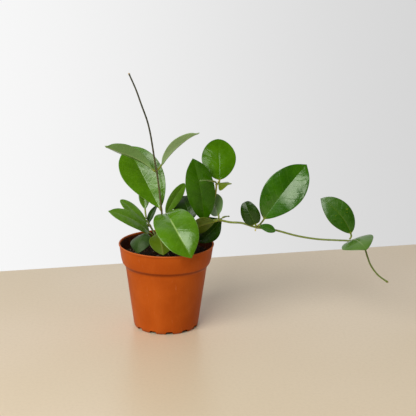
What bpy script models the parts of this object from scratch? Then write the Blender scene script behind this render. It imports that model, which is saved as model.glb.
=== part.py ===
"""Potted hoya: a young wax plant in a 12 cm plastic nursery pot.

Run in Blender 4.5.  Units are metres, +Z up, the origin is the centre of the
pot's underside.  +X points along the long runner, -Y is the front.
The design numbers below are in millimetres and degrees.
"""
import bpy
import bmesh
import math
import numpy as np
from mathutils import Vector

# ---------------------------------------------------------------- constants
MM = 0.001
GAP = 0.3              # clearance between pieces that touch

POT_HEIGHT = 108.0
POT_RIM_R = 60.0       # outer radius of the lip
POT_BASE_R = 40.4      # outer radius at the foot
POT_STEP_Z = 78.6      # top of the plain wall
POT_COLLAR_Z = 83.4    # lower edge of the collar
POT_WALL = 1.3
POT_FLOOR = 1.8
POT_STEPS = 48

NOTCH_COUNT = 12       # drain notches round the foot
NOTCH_FIRST = -82.0    # azimuth of the first one, from +X
NOTCH_W = 9.0
NOTCH_H = 3.6

SOIL_TOP = 94.5

PETIOLE_R = 1.1        # half-thickness of a leaf stalk
BLADE_T = 0.5          # blade thickness as a share of the stalk's
MARGIN_T = 0.32        # thickness at the margin, same share

# pot section, inner floor -> inner wall -> lip -> outer wall -> underside
POT_PROFILE = [
    (0.0, POT_FLOOR),
    (38.6, POT_FLOOR),
    (49.4, POT_STEP_Z - 0.6),
    (53.0, POT_COLLAR_Z + 0.8),
    (55.4, 90.0),
    (57.0, 101.5),
    (58.2, POT_HEIGHT - 0.3),
    (58.8, POT_HEIGHT),
    (59.7, POT_HEIGHT - 0.3),
    (POT_RIM_R, POT_HEIGHT - 1.4),
    (58.9, POT_HEIGHT - 3.0),
    (58.2, 99.5),
    (56.9, 90.5),
    (55.2, POT_COLLAR_Z + 0.9),
    (54.5, POT_COLLAR_Z),
    (51.3, POT_STEP_Z),
    (POT_BASE_R + 0.3, 2.2),
    (POT_BASE_R - 1.4, 0.0),
    (0.0, 0.0),
]

# stems: points of the centre line, radius at foot and tip, swollen nodes
STEMS = {
    "stem_upright": dict(
        pts=[(-5, 8, 80), (-5, 8, 95), (-6, 8, 119), (-6, 8, 141),
             (-8, 8, 160), (-10, 9, 178), (-13, 10, 198), (-15.5, 11, 212),
             (-21, 14, 244), (-25, 16, 260), (-32, 18, 279), (-39, 20, 298),
             (-48, 22, 318)],
        r=(1.35, 0.95), nodes=[(-13, 10, 198)], knob=1.45, n=24,
        colour=(0.10, 0.085, 0.03)),
    "stem_right": dict(
        pts=[(34, 14, 80), (34, 14, 98), (36, 12, 112), (42, 8, 124),
             (49, 6, 134), (54, 5.5, 146), (58, 5, 161), (61, 4, 172), (62, 5, 185)],
        r=(1.35, 1.1), nodes=[(62, 5, 185)], knob=1.3, n=16,
        colour=(0.30, 0.33, 0.04)),
    "stem_left": dict(
        pts=[(-8, -4, 80), (-8, -4, 96), (-10, -3, 108), (-15, 1, 119),
             (-21, 9, 127), (-26, 16, 133)],
        r=(1.3, 1.1), nodes=[(-21, 9, 127)], knob=1.2, n=14,
        colour=(0.16, 0.22, 0.05)),
    "stem_runner": dict(
        pts=[(26, -1, 80), (26, -1, 93), (26.4, -1, 98), (33, 1, 113), (44, 1, 127),
             (56, 0, 137), (65, 1, 138), (80, 1, 135.5), (94, 0, 135),
             (111, -2, 130.5), (135, -5, 128), (163, -9, 122),
             (188, -12, 119), (212, -16, 119), (229, -19, 119),
             (240, -20, 116), (247, -21, 109), (250, -22, 101),
             (254.5, -23, 90), (264, -25, 77.5), (277, -27, 68.5)],
        r=(1.45, 1.0), nodes=[(65, 1, 138), (113, -2, 130), (229, -19, 119)],
        knob=1.7, n=46, colour=(0.20, 0.28, 0.03)),
}

# leaves: at = point on the stem's centre line, base and tip of the blade,
# w = greatest width, face = where the upper side looks, arch = how far the
# midrib's two inner controls rise to the upper side, sweep = the same
# sideways, fold = slope of the two halves, roll = how far the margins bend
# back, twist in degrees, k/q/ac = outline (place of the widest part,
# roundness, drawn-out tip); kl/ql/wl and kr/qr/wr change one half only
LEAVES = {
    "leaf_back_left": dict(stem="stem_upright", at=(-6, 8, 138), base=(-9, 12, 149),
        tip=(-51.3, 40, 223.2), w=51, face=(0.02, -0.9, 0.57), arch=(0.5, 1), sweep=(0, 0),
        fold=0.38, roll=0.1, twist=0, k=1.1, q=0.6, ac=0.35, kl=1.5),
    "leaf_upper_left": dict(stem="stem_upright", at=(-13, 10, 198), base=(-17, 7, 200),
        tip=(-75, -12, 233.5), w=24, face=(-0.10, 0.65, 0.75), arch=(10, 0), sweep=(0, 0),
        fold=0.65, roll=0.1, twist=0, k=1.15, q=0.7, ac=0.4, kl=1.35),
    "leaf_upper_right": dict(stem="stem_upright", at=(-13, 10, 198), base=(-7, 6, 206),
        tip=(40, -16, 252), w=19, face=(-0.35, 0.60, 0.70), arch=(7, 8), sweep=(0, 0),
        fold=0.65, roll=0.1, twist=0, k=1.05, q=0.75, ac=0.4),
    "leaf_small_left": dict(stem="stem_left", at=(-26, 16, 133), base=(-28, 22, 145),
        tip=(-32, 36, 180), w=14, face=(0.1, -0.95, 0.3), arch=(1, 2), sweep=(0, 0),
        fold=0.25, roll=0.1, twist=0, k=0.8, q=0.8, ac=0.3),
    "leaf_low_left": dict(stem="stem_left", at=(-13, -1, 115), base=(-21, -6, 122),
        tip=(-71, -22, 154), w=22, face=(0.2, -0.62, 0.75), arch=(11, 10), sweep=(0, 0),
        fold=0.2, roll=0.15, twist=0, k=1.05, q=0.57, ac=0.3),
    "leaf_low_left_back": dict(stem="stem_left", at=(-18, 5, 123), base=(-25, 9, 128),
        tip=(-59, 18, 158), w=18, face=(0.4, -0.55, 0.7), arch=(1, 3), sweep=(0, 0),
        fold=0.2, roll=0.15, twist=0, k=1.15, q=0.52, ac=0.0),
    "leaf_dark_narrow": dict(stem="stem_left", at=(-22, 10, 128), base=(-24, 20, 126),
        tip=(-12, 30, 149.5), w=12, face=(-0.7, -0.6, 0.3), arch=(1, 1), sweep=(-2, -2),
        fold=0.3, roll=0.1, twist=0, k=0.9, q=0.8, ac=0.3),
    "leaf_pot_left": dict(stem="stem_left", at=(-8.7, -4, 98), base=(-24, -17.5, 124.5),
        tip=(-33, -38, 105), w=35, face=(-0.35, -0.62, 0.7), arch=(10, 9), sweep=(0, 0),
        fold=-0.1, roll=0.35, twist=0, k=0.95, q=0.6, ac=0.2, wl=0.74),
    "leaf_pot_front": dict(stem="stem_left", at=(-10, -3, 108), base=(-10, -19, 124.5),
        tip=(-2, -46, 105.5), w=30, face=(-0.2, 0.6, -0.7), arch=(-6, -6), sweep=(0, 0),
        fold=0.15, roll=0.2, twist=0, k=1.0, q=0.65, ac=0.3),
    "leaf_front": dict(stem="stem_upright", at=(-5, 8, 120), base=(-1, 5, 144),
        tip=(33, -65, 108.5), w=50, face=(0.0, -0.75, 0.66), arch=(30, 25), sweep=(4, 5),
        fold=0.36, roll=0.22, twist=0, k=0.9, q=0.55, ac=0.3, kl=1.3, kr=1.2, wl=1.05, wr=0.95, qr=0.48),
    "leaf_mid": dict(stem="stem_upright", at=(-5, 8, 110), base=(-1, 15, 142),
        tip=(22, 24, 179), w=16, face=(0.5, -0.75, 0.4), arch=(3, 4), sweep=(-3, -3),
        fold=0.3, roll=0.1, twist=0, k=1.1, q=0.55, ac=0.0),
    "leaf_mid_dark": dict(stem="stem_right", at=(36, 12, 112), base=(31, 16, 134),
        tip=(19, 42, 158), w=34, face=(-0.2, -0.6, 0.75), arch=(4, 5), sweep=(0, 0),
        fold=0.4, roll=0.1, twist=0, k=0.85, q=0.6, ac=0.1),
    "leaf_right_tall": dict(stem="stem_right", at=(46, 7, 130), base=(47, 1, 138.5),
        tip=(32, -1, 217), w=36, face=(0.1, -0.95, 0.2), arch=(3, 4), sweep=(3, 3),
        fold=0.35, roll=0.3, twist=0, k=1.02, q=0.56, ac=0.35),
    "leaf_right_round": dict(stem="stem_right", at=(62, 5, 185), base=(65.5, 9, 188),
        tip=(63, 32, 235), w=43, face=(0.05, -0.93, 0.35), arch=(5, 4), sweep=(0, 0),
        fold=0.05, roll=0.08, twist=0, k=1.04, q=0.52, ac=0.0),
    "leaf_right_olive": dict(stem="stem_right", at=(62.0, 4.0, 182.7), base=(64.8, 0.9, 185.0),
        tip=(80.5, -12, 188.3), w=18, face=(0.0, -0.5, 0.85), arch=(0, 0), sweep=(0, 0),
        fold=-0.5, roll=0.0, twist=0, k=0.5, q=0.85, ac=0.3),
    "leaf_right_sliver": dict(stem="stem_right", at=(62, 5, 185), base=(56.0, -6.8, 190.2),
        tip=(41, -24, 194.5), w=11, face=(0.2, 0.25, 0.95), arch=(1, 1), sweep=(0, 0),
        fold=0.2, roll=0.0, twist=0, k=0.9, q=0.8, ac=0.3),
    "leaf_runner_back": dict(stem="stem_runner", at=(65, 1, 138), base=(65, 8, 143),
        tip=(52.5, 30, 163), w=29, face=(-0.1, 0.85, 0.5), arch=(3, 3), sweep=(0, 0),
        fold=0.2, roll=0.1, twist=0, k=1.0, q=0.62, ac=0.2),
    "leaf_runner_olive": dict(stem="stem_runner", at=(65, 1, 138), base=(60, -9, 139),
        tip=(26, -16, 127), w=34, face=(-0.1, 0.75, 0.66), arch=(2, 2), sweep=(0, 0),
        fold=0.1, roll=0.1, twist=0, k=0.9, q=0.7, ac=0.3),
    "leaf_runner_small": dict(stem="stem_runner", at=(66, 1, 138), base=(71, 3.5, 141),
        tip=(79, 12, 140), w=6, face=(0.0, 0.3, 0.95), arch=(1, 1), sweep=(0, 0),
        fold=0.2, roll=0.0, twist=0, k=0.9, q=0.8, ac=0.3),
    "leaf_runner_dark": dict(stem="stem_runner", at=(65, 1, 138), base=(68, 10, 135.5),
        tip=(41, 14, 104), w=34, face=(-0.2, -0.85, 0.4), arch=(-7, -6), sweep=(0, 0),
        fold=0.6, roll=0.1, twist=0, k=0.85, q=0.6, ac=0.2, kl=0.9, kr=0.7, wr=1.1, wl=0.8),
    "leaf_runner_rounded": dict(stem="stem_runner", at=(112, -2, 130.3), base=(111, -5, 135),
        tip=(98, 2, 162), w=24, face=(-0.4, -0.85, 0.3), arch=(3, 4), sweep=(0, 0),
        fold=0.25, roll=0.3, twist=0, k=0.8, q=0.3, ac=0.0),
    "leaf_runner_low": dict(stem="stem_runner", at=(118, -3, 129.7), base=(116, -10, 135),
        tip=(135.5, -15, 128.8), w=13, face=(0.1, -0.6, 0.8), arch=(1, 1), sweep=(0, 0),
        fold=0.2, roll=0.1, twist=0, k=1.15, q=0.6, ac=0.0),
    "leaf_runner_large": dict(stem="stem_runner", at=(113, -2, 130), base=(122, -1, 141),
        tip=(174, 14, 208), w=49, face=(-0.1, -0.93, 0.23), arch=(5.5, 7), sweep=(-2, -2),
        fold=0.28, roll=0.12, twist=0, k=0.92, q=0.62, ac=0.35, kr=1.12, qr=0.66),
    "leaf_end_tall": dict(stem="stem_runner", at=(226, -18.5, 119), base=(229, -16, 128),
        tip=(191, -4, 169), w=31, face=(-0.2, -0.9, 0.4), arch=(3, 4), sweep=(7, 6.5),
        fold=0.14, roll=0.1, twist=0, k=0.95, q=0.62, ac=0.35),
    "leaf_end_heart": dict(stem="stem_runner", at=(229, -19, 119), base=(229.5, -24.5, 121.5),
        tip=(243.5, -58, 120), w=43, face=(-0.11, -0.5, 0.84), arch=(8, 7), sweep=(0, 0),
        fold=0.05, roll=0.17, twist=0, k=0.8, q=0.55, ac=0.0),
}


# ------------------------------------------------------------- curve helpers
def vec(p):
    return np.asarray(p, float)


def unit(v):
    v = np.asarray(v, float)
    return v / max(np.linalg.norm(v), 1e-12)


def bezier(p0, p1, p2, p3, t):
    t = np.asarray(t, float)[:, None]
    return ((1 - t) ** 3 * p0 + 3 * (1 - t) ** 2 * t * p1
            + 3 * (1 - t) * t ** 2 * p2 + t ** 3 * p3)


def smooth_path(pts, n):
    """n points spread evenly along a centripetal Catmull-Rom curve."""
    p = np.asarray(pts, float)
    p = np.vstack([2 * p[0] - p[1], p, 2 * p[-1] - p[-2]])
    out = []
    for i in range(1, len(p) - 2):
        a, b, c, d = p[i - 1], p[i], p[i + 1], p[i + 2]
        t0 = 0.0
        t1 = t0 + np.linalg.norm(b - a) ** 0.5
        t2 = t1 + np.linalg.norm(c - b) ** 0.5
        t3 = t2 + np.linalg.norm(d - c) ** 0.5
        for t in np.linspace(t1, t2, 24, endpoint=False):
            a1 = (t1 - t) / (t1 - t0) * a + (t - t0) / (t1 - t0) * b
            a2 = (t2 - t) / (t2 - t1) * b + (t - t1) / (t2 - t1) * c
            a3 = (t3 - t) / (t3 - t2) * c + (t - t2) / (t3 - t2) * d
            b1 = (t2 - t) / (t2 - t0) * a1 + (t - t0) / (t2 - t0) * a2
            b2 = (t3 - t) / (t3 - t1) * a2 + (t - t1) / (t3 - t1) * a3
            out.append((t2 - t) / (t2 - t1) * b1 + (t - t1) / (t2 - t1) * b2)
    out.append(p[-2])
    out = np.array(out)
    s = np.concatenate([[0], np.cumsum(np.linalg.norm(np.diff(out, axis=0), axis=1))])
    u = np.linspace(0, s[-1], n)
    return np.stack([np.interp(u, s, out[:, k]) for k in range(3)], 1)


def stem_line(spec):
    """Centre line and radius of a stem."""
    path = smooth_path(spec["pts"], spec["n"])
    s = np.concatenate([[0], np.cumsum(np.linalg.norm(np.diff(path, axis=0), axis=1))])
    r = spec["r"][0] + (spec["r"][1] - spec["r"][0]) * s / s[-1]
    for node in spec["nodes"]:
        d = np.linalg.norm(path - vec(node), axis=1)
        r = r * (1 + 0.30 * np.exp(-(d / 3.0) ** 2))
    left = s[-1] - s
    r = r * (1 + (spec["knob"] - 1) * np.exp(-(left / 2.5) ** 2))
    return path, r


def outline(s, k, q, ac):
    """Half-width of a blade as a share of the greatest one, s from 0 to 1."""
    s = np.clip(np.asarray(s, float), 0, 1)
    f = np.sin(np.pi * s ** k) ** q if k >= 1 else np.sin(np.pi * (1 - (1 - s) ** (1 / k))) ** q
    t = np.clip((s - 0.8) / 0.2, 0, 1)
    return f * (1 - ac * t * t)


def leaf_frames(spec, path_of_stem, radius_of_stem, s_stalk, s_blade):
    """Points along the stalk and the midrib, with side and upward directions."""
    base, tip, at = vec(spec["base"]), vec(spec["tip"]), vec(spec["at"])
    d = tip - base
    t0 = unit(d)
    face = vec(spec["face"])
    n0 = unit(face - np.dot(face, t0) * t0)
    s0 = np.cross(t0, n0)
    a, b = spec["arch"], spec["sweep"]
    p1 = base + d / 3 + n0 * a[0] + s0 * b[0]
    p2 = base + d * 2 / 3 + n0 * a[1] + s0 * b[1]
    blade = bezier(base, p1, p2, tip, s_blade)
    first = unit(p1 - base)
    reach = np.linalg.norm(base - at)
    c2 = base - first * reach * 0.4
    # the stalk starts just clear of its stem
    out = unit(c2 - at)
    k = int(np.argmin(np.linalg.norm(path_of_stem - at, axis=1)))
    lo, hi = max(k - 1, 0), min(k + 1, len(path_of_stem) - 1)
    axis = unit(path_of_stem[hi] - path_of_stem[lo])
    sin_a = max(np.linalg.norm(np.cross(out, axis)), 0.35)
    cos_a = abs(np.dot(out, axis))
    r = radius_of_stem[max(k - 1, 0):k + 2].max()
    clear = (r + GAP + 0.15 + PETIOLE_R * 1.2 * cos_a) / sin_a
    ahead = np.dot(out, axis)
    if k == len(path_of_stem) - 1 and ahead > 0.3:
        # a leaf that carries on past the stem's end only has to clear the end face
        clear = min(clear, (GAP + 0.2 + PETIOLE_R * math.sqrt(1 - ahead ** 2)) / ahead)
    start = at + out * clear
    c1 = start + out * reach * 0.3
    stalk = bezier(start, c1, c2, base, s_stalk)
    line = np.vstack([stalk[:-1], blade])
    tang = np.gradient(line, axis=0)
    dense = np.vstack([bezier(start, c1, c2, base, np.array([0.0, 0.01]))])
    tang[0] = dense[1] - dense[0]
    tang = np.array([unit(t) for t in tang])
    n_rows = len(line)
    mid = len(stalk) - 1 + len(blade) // 2
    normal = np.zeros((n_rows, 3))
    normal[mid] = unit(n0 - np.dot(n0, tang[mid]) * tang[mid])
    for i in range(mid + 1, n_rows):
        v = normal[i - 1]
        normal[i] = unit(v - np.dot(v, tang[i]) * tang[i])
    for i in range(mid - 1, -1, -1):
        v = normal[i + 1]
        normal[i] = unit(v - np.dot(v, tang[i]) * tang[i])
    side = np.cross(tang, normal)
    return line, tang, normal, side, len(stalk) - 1


S_STALK = np.array([0.0, 0.5, 1.0])
S_BLADE = np.array([0.0, 0.035, 0.11, 0.23, 0.38, 0.54, 0.70, 0.84, 0.94, 1.0])
LATERAL = np.array([-1.0, -0.55, 0.0, 0.55, 1.0])


def leaf_surface(spec, stem, s_stalk=S_STALK, s_blade=S_BLADE, lateral=LATERAL):
    """Rows of points across a leaf, and the thickness share of each."""
    path, radius = stem
    line, tang, normal, side, k0 = leaf_frames(spec, path, radius, s_stalk, s_blade)
    rows, thick = [], []
    half = spec["w"] / 2
    for i, p in enumerate(line):
        if i < k0:
            w, s = PETIOLE_R, 0.0
            wl = wr = w
        else:
            s = s_blade[i - k0]
            floor = PETIOLE_R * (1 - s) + 0.3 * s
            w = max(half * outline([s], spec["k"], spec["q"], spec["ac"])[0], floor)
            wl = max(half * spec.get("wl", 1.0) * outline(
                [s], spec.get("kl", spec["k"]), spec.get("ql", spec["q"]), spec["ac"])[0], floor)
            wr = max(half * spec.get("wr", 1.0) * outline(
                [s], spec.get("kr", spec["k"]), spec.get("qr", spec["q"]), spec["ac"])[0], floor)
        ang = math.radians(spec["twist"]) * (s - 0.5)
        n = normal[i] * math.cos(ang) + side[i] * math.sin(ang)
        e = side[i] * math.cos(ang) - normal[i] * math.sin(ang)
        wide = min(1.0, max(0.0, (w - PETIOLE_R) / (0.35 * half)))
        x = np.where(lateral < 0, lateral * wl, lateral * wr)
        lift = spec["fold"] * np.abs(x) * wide - spec["roll"] * x * x / half * wide
        rows.append(p + np.outer(x, e) + np.outer(lift, n))
        core = 1 + (BLADE_T - 1) * wide
        edge = 1 + (MARGIN_T - 1) * wide
        if s > 0.9:
            core = edge = MARGIN_T
        thick.append(core + (edge - core) * np.abs(lateral) ** 2)
    return np.array(rows), np.array(thick)


# ------------------------------------------------------------------- Blender
def clear_scene():
    for ob in list(bpy.data.objects):
        bpy.data.objects.remove(ob, do_unlink=True)


def new_collection(name):
    col = bpy.data.collections.new(name)
    bpy.context.scene.collection.children.link(col)
    return col


def material(name, colour, roughness, metallic=0.0):
    mat = bpy.data.materials.new(name)
    mat.use_nodes = True
    shader = mat.node_tree.nodes["Principled BSDF"]
    shader.inputs["Base Color"].default_value = (*colour, 1.0)
    shader.inputs["Roughness"].default_value = roughness
    shader.inputs["Metallic"].default_value = metallic
    mat.diffuse_color = (*colour, 1.0)
    return mat


def add_object(name, data, col):
    ob = bpy.data.objects.new(name, data)
    col.objects.link(ob)
    return ob


def turned(name, profile, steps, col):
    """A profile in the XZ plane, turned about Z."""
    me = bpy.data.meshes.new(name)
    bm = bmesh.new()
    verts = [bm.verts.new((x * MM, 0.0, z * MM)) for x, z in profile]
    for a, b in zip(verts, verts[1:]):
        bm.edges.new((a, b))
    bm.to_mesh(me)
    bm.free()
    ob = add_object(name, me, col)
    mod = ob.modifiers.new("turn", 'SCREW')
    mod.axis = 'Z'
    mod.steps = steps
    mod.render_steps = steps
    mod.use_merge_vertices = True
    mod.merge_threshold = 0.00001
    mod.use_normal_calculate = False
    mod.use_smooth_shade = True
    return ob


def cutter(name, data, col):
    ob = add_object(name, data, col)
    ob.hide_render = True
    ob.display_type = 'WIRE'
    return ob


def cut(ob, tool):
    mod = ob.modifiers.new("cut_" + tool.name, 'BOOLEAN')
    mod.operation = 'DIFFERENCE'
    mod.solver = 'EXACT'
    mod.object = tool


def build_pot(col, cut_col):
    pot = turned("pot", POT_PROFILE, POT_STEPS, col)
    pot.data.materials.append(material("terracotta_plastic", (0.47, 0.105, 0.022), 0.42))
    me = bpy.data.meshes.new("drain_notches")
    bm = bmesh.new()
    for i in range(NOTCH_COUNT):
        a = math.radians(NOTCH_FIRST + i * 360.0 / NOTCH_COUNT)
        made = bmesh.ops.create_cube(bm, size=1.0)["verts"]
        for v in made:
            x = 39.5 + v.co.x * 9.0
            y = v.co.y * NOTCH_W
            z = (v.co.z * 2 + 0.0) * NOTCH_H
            v.co = Vector(((x * math.cos(a) - y * math.sin(a)) * MM,
                           (x * math.sin(a) + y * math.cos(a)) * MM, z * MM))
    bm.to_mesh(me)
    bm.free()
    cut(pot, cutter("drain_notches", me, cut_col))
    return pot


def soil_height(x, y):
    return (SOIL_TOP + 0.9 * math.sin(x * 0.11 + 0.7) * math.cos(y * 0.13 - 0.4)
            + 0.6 * math.sin(x * 0.23 - y * 0.19))


def build_soil(col, cut_col):
    shrink = GAP + 0.05
    profile = [(0.0, SOIL_TOP), (14.0, SOIL_TOP), (28.0, SOIL_TOP), (42.0, SOIL_TOP),
               (56.0 - shrink - 0.15, SOIL_TOP - 0.4),
               (55.4 - shrink, 90.0), (53.0 - shrink, POT_COLLAR_Z + 0.8 + 0.05),
               (49.4 - shrink, POT_STEP_Z - 0.6 + 0.05),
               (38.6 - shrink, POT_FLOOR + shrink), (0.0, POT_FLOOR + shrink)]
    ob = turned("soil", profile, POT_STEPS, col)
    deps = bpy.context.evaluated_depsgraph_get()
    # the turned top is flat: its rings are made uneven
    solid = bpy.data.meshes.new_from_object(ob.evaluated_get(deps))
    ob.modifiers.clear()
    ob.data = solid
    for v in solid.vertices:
        r = math.hypot(v.co.x, v.co.y) / MM
        if r < 50 and v.co.z > (SOIL_TOP - 0.2) * MM:
            v.co.z = soil_height(v.co.x / MM, v.co.y / MM) * MM
    ob.data.materials.append(material("peat", (0.022, 0.013, 0.008), 0.95))
    me2 = bpy.data.meshes.new("stem_sockets")
    bm = bmesh.new()
    for spec in STEMS.values():
        foot = spec["pts"][0]
        r = spec["r"][0] * 1.0 + GAP + 0.05
        made = bmesh.ops.create_cone(bm, cap_ends=True, segments=12, radius1=r * MM,
                                     radius2=r * MM, depth=30 * MM)["verts"]
        bmesh.ops.translate(bm, verts=made, vec=Vector((foot[0] * MM, foot[1] * MM,
                            (foot[2] - GAP + 15.0) * MM)))
    bm.to_mesh(me2)
    bm.free()
    cut(ob, cutter("stem_sockets", me2, cut_col))
    return ob


def build_stem(name, spec, col):
    path, radius = stem_line(spec)
    cu = bpy.data.curves.new(name, 'CURVE')
    cu.dimensions = '3D'
    cu.bevel_depth = MM
    cu.bevel_resolution = 2
    cu.use_fill_caps = True
    sp = cu.splines.new('POLY')
    sp.points.add(len(path) - 1)
    for q, p, r in zip(sp.points, path, radius):
        q.co = (p[0] * MM, p[1] * MM, p[2] * MM, 1.0)
        q.radius = r
    ob = add_object(name, cu, col)
    cu.materials.append(material(name + "_skin", spec["colour"], 0.5))
    return ob


def build_leaf(name, spec, stem, col):
    pts, thick = leaf_surface(spec, stem)
    rows, cols = pts.shape[:2]
    me = bpy.data.meshes.new(name)
    bm = bmesh.new()
    bmesh.ops.create_grid(bm, x_segments=cols - 1, y_segments=rows - 1, size=1.0)
    bm.verts.ensure_lookup_table()
    for v in bm.verts:
        j = int(round((v.co.x + 1) / 2 * (cols - 1)))
        i = int(round((v.co.y + 1) / 2 * (rows - 1)))
        v.co = Vector(pts[i, j] * MM)
    bm.to_mesh(me)
    bm.free()
    ob = add_object(name, me, col)
    group = ob.vertex_groups.new(name="thickness")
    lookup = pts.reshape(-1, 3) * MM
    flat = thick.reshape(-1)
    for v in me.vertices:
        k = int(np.argmin(np.sum((lookup - np.array(v.co)) ** 2, axis=1)))
        group.add([v.index], float(flat[k]), 'REPLACE')
    mod = ob.modifiers.new("thickness", 'SOLIDIFY')
    mod.thickness = 2 * PETIOLE_R * MM
    mod.offset = 0.0
    mod.vertex_group = "thickness"
    mod.use_rim = True
    for poly in me.polygons:
        poly.use_smooth = True
    me.materials.append(material(name + "_skin", spec.get("colour", (0.07, 0.20, 0.012)), 0.35))
    return ob


def main():
    clear_scene()
    col = new_collection("potted_hoya")
    cut_col = new_collection("cutters")
    build_pot(col, cut_col)
    build_soil(col, cut_col)
    stems = {}
    for name, spec in STEMS.items():
        stems[name] = stem_line(spec)
        build_stem(name, spec, col)
    for name, spec in LEAVES.items():
        build_leaf(name, spec, stems[spec["stem"]], col)


main()
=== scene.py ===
"""Potted hoya: the look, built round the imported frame.

Lengths in the tables are in millimetres; every object is in metres, in the frame of the CAD.
The stem and leaf tables and their helpers repeat the design of the part, so that each fine
leaf and stem lies where its CAD node lies.
"""
import math
import random
import bpy
import bmesh
import numpy as np
from mathutils import Matrix, Vector, noise


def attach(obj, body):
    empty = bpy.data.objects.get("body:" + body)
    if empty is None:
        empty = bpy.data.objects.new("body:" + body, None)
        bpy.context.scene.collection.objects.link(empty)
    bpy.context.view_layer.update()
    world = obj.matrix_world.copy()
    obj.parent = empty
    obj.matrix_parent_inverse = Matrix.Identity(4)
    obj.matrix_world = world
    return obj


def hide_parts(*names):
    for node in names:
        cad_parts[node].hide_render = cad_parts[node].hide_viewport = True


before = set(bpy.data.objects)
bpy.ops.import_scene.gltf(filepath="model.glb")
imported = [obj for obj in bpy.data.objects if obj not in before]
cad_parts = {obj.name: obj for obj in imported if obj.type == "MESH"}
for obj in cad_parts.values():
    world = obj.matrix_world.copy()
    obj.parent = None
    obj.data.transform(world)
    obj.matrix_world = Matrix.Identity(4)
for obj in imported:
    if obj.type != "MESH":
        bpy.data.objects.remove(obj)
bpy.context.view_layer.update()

# ---------------------------------------------------------------- constants
MM = 0.001
GAP = 0.3              # clearance between pieces that touch

POT_HEIGHT = 108.0
POT_RIM_R = 60.0       # outer radius of the lip
POT_BASE_R = 40.4      # outer radius at the foot
POT_STEP_Z = 78.6      # top of the plain wall
POT_COLLAR_Z = 83.4    # lower edge of the collar
POT_WALL = 1.3
POT_FLOOR = 1.8
POT_STEPS = 48

NOTCH_COUNT = 12       # drain notches round the foot
NOTCH_FIRST = -82.0    # azimuth of the first one, from +X
NOTCH_W = 9.0
NOTCH_H = 3.6

SOIL_TOP = 94.5

PETIOLE_R = 1.1        # half-thickness of a leaf stalk
BLADE_T = 0.5          # blade thickness as a share of the stalk's
MARGIN_T = 0.32        # thickness at the margin, same share

# pot section, inner floor -> inner wall -> lip -> outer wall -> underside
POT_PROFILE = [
    (0.0, POT_FLOOR),
    (38.6, POT_FLOOR),
    (49.4, POT_STEP_Z - 0.6),
    (53.0, POT_COLLAR_Z + 0.8),
    (55.4, 90.0),
    (57.0, 101.5),
    (58.2, POT_HEIGHT - 0.3),
    (58.8, POT_HEIGHT),
    (59.7, POT_HEIGHT - 0.3),
    (POT_RIM_R, POT_HEIGHT - 1.4),
    (58.9, POT_HEIGHT - 3.0),
    (58.2, 99.5),
    (56.9, 90.5),
    (55.2, POT_COLLAR_Z + 0.9),
    (54.5, POT_COLLAR_Z),
    (51.3, POT_STEP_Z),
    (POT_BASE_R + 0.3, 2.2),
    (POT_BASE_R - 1.4, 0.0),
    (0.0, 0.0),
]

# stems: points of the centre line, radius at foot and tip, swollen nodes
STEMS = {
    "stem_upright": dict(
        pts=[(-5, 8, 80), (-5, 8, 95), (-6, 8, 119), (-6, 8, 141),
             (-8, 8, 160), (-10, 9, 178), (-13, 10, 198), (-15.5, 11, 212),
             (-21, 14, 244), (-25, 16, 260), (-32, 18, 279), (-39, 20, 298),
             (-48, 22, 318)],
        r=(1.35, 0.95), nodes=[(-13, 10, 198)], knob=1.45, n=24,
        colour=(0.10, 0.085, 0.03)),
    "stem_right": dict(
        pts=[(34, 14, 80), (34, 14, 98), (36, 12, 112), (42, 8, 124),
             (49, 6, 134), (54, 5.5, 146), (58, 5, 161), (61, 4, 172), (62, 5, 185)],
        r=(1.35, 1.1), nodes=[(62, 5, 185)], knob=1.3, n=16,
        colour=(0.30, 0.33, 0.04)),
    "stem_left": dict(
        pts=[(-8, -4, 80), (-8, -4, 96), (-10, -3, 108), (-15, 1, 119),
             (-21, 9, 127), (-26, 16, 133)],
        r=(1.3, 1.1), nodes=[(-21, 9, 127)], knob=1.2, n=14,
        colour=(0.16, 0.22, 0.05)),
    "stem_runner": dict(
        pts=[(26, -1, 80), (26, -1, 93), (26.4, -1, 98), (33, 1, 113), (44, 1, 127),
             (56, 0, 137), (65, 1, 138), (80, 1, 135.5), (94, 0, 135),
             (111, -2, 130.5), (135, -5, 128), (163, -9, 122),
             (188, -12, 119), (212, -16, 119), (229, -19, 119),
             (240, -20, 116), (247, -21, 109), (250, -22, 101),
             (254.5, -23, 90), (264, -25, 77.5), (277, -27, 68.5)],
        r=(1.45, 1.0), nodes=[(65, 1, 138), (113, -2, 130), (229, -19, 119)],
        knob=1.7, n=46, colour=(0.20, 0.28, 0.03)),
}

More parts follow.
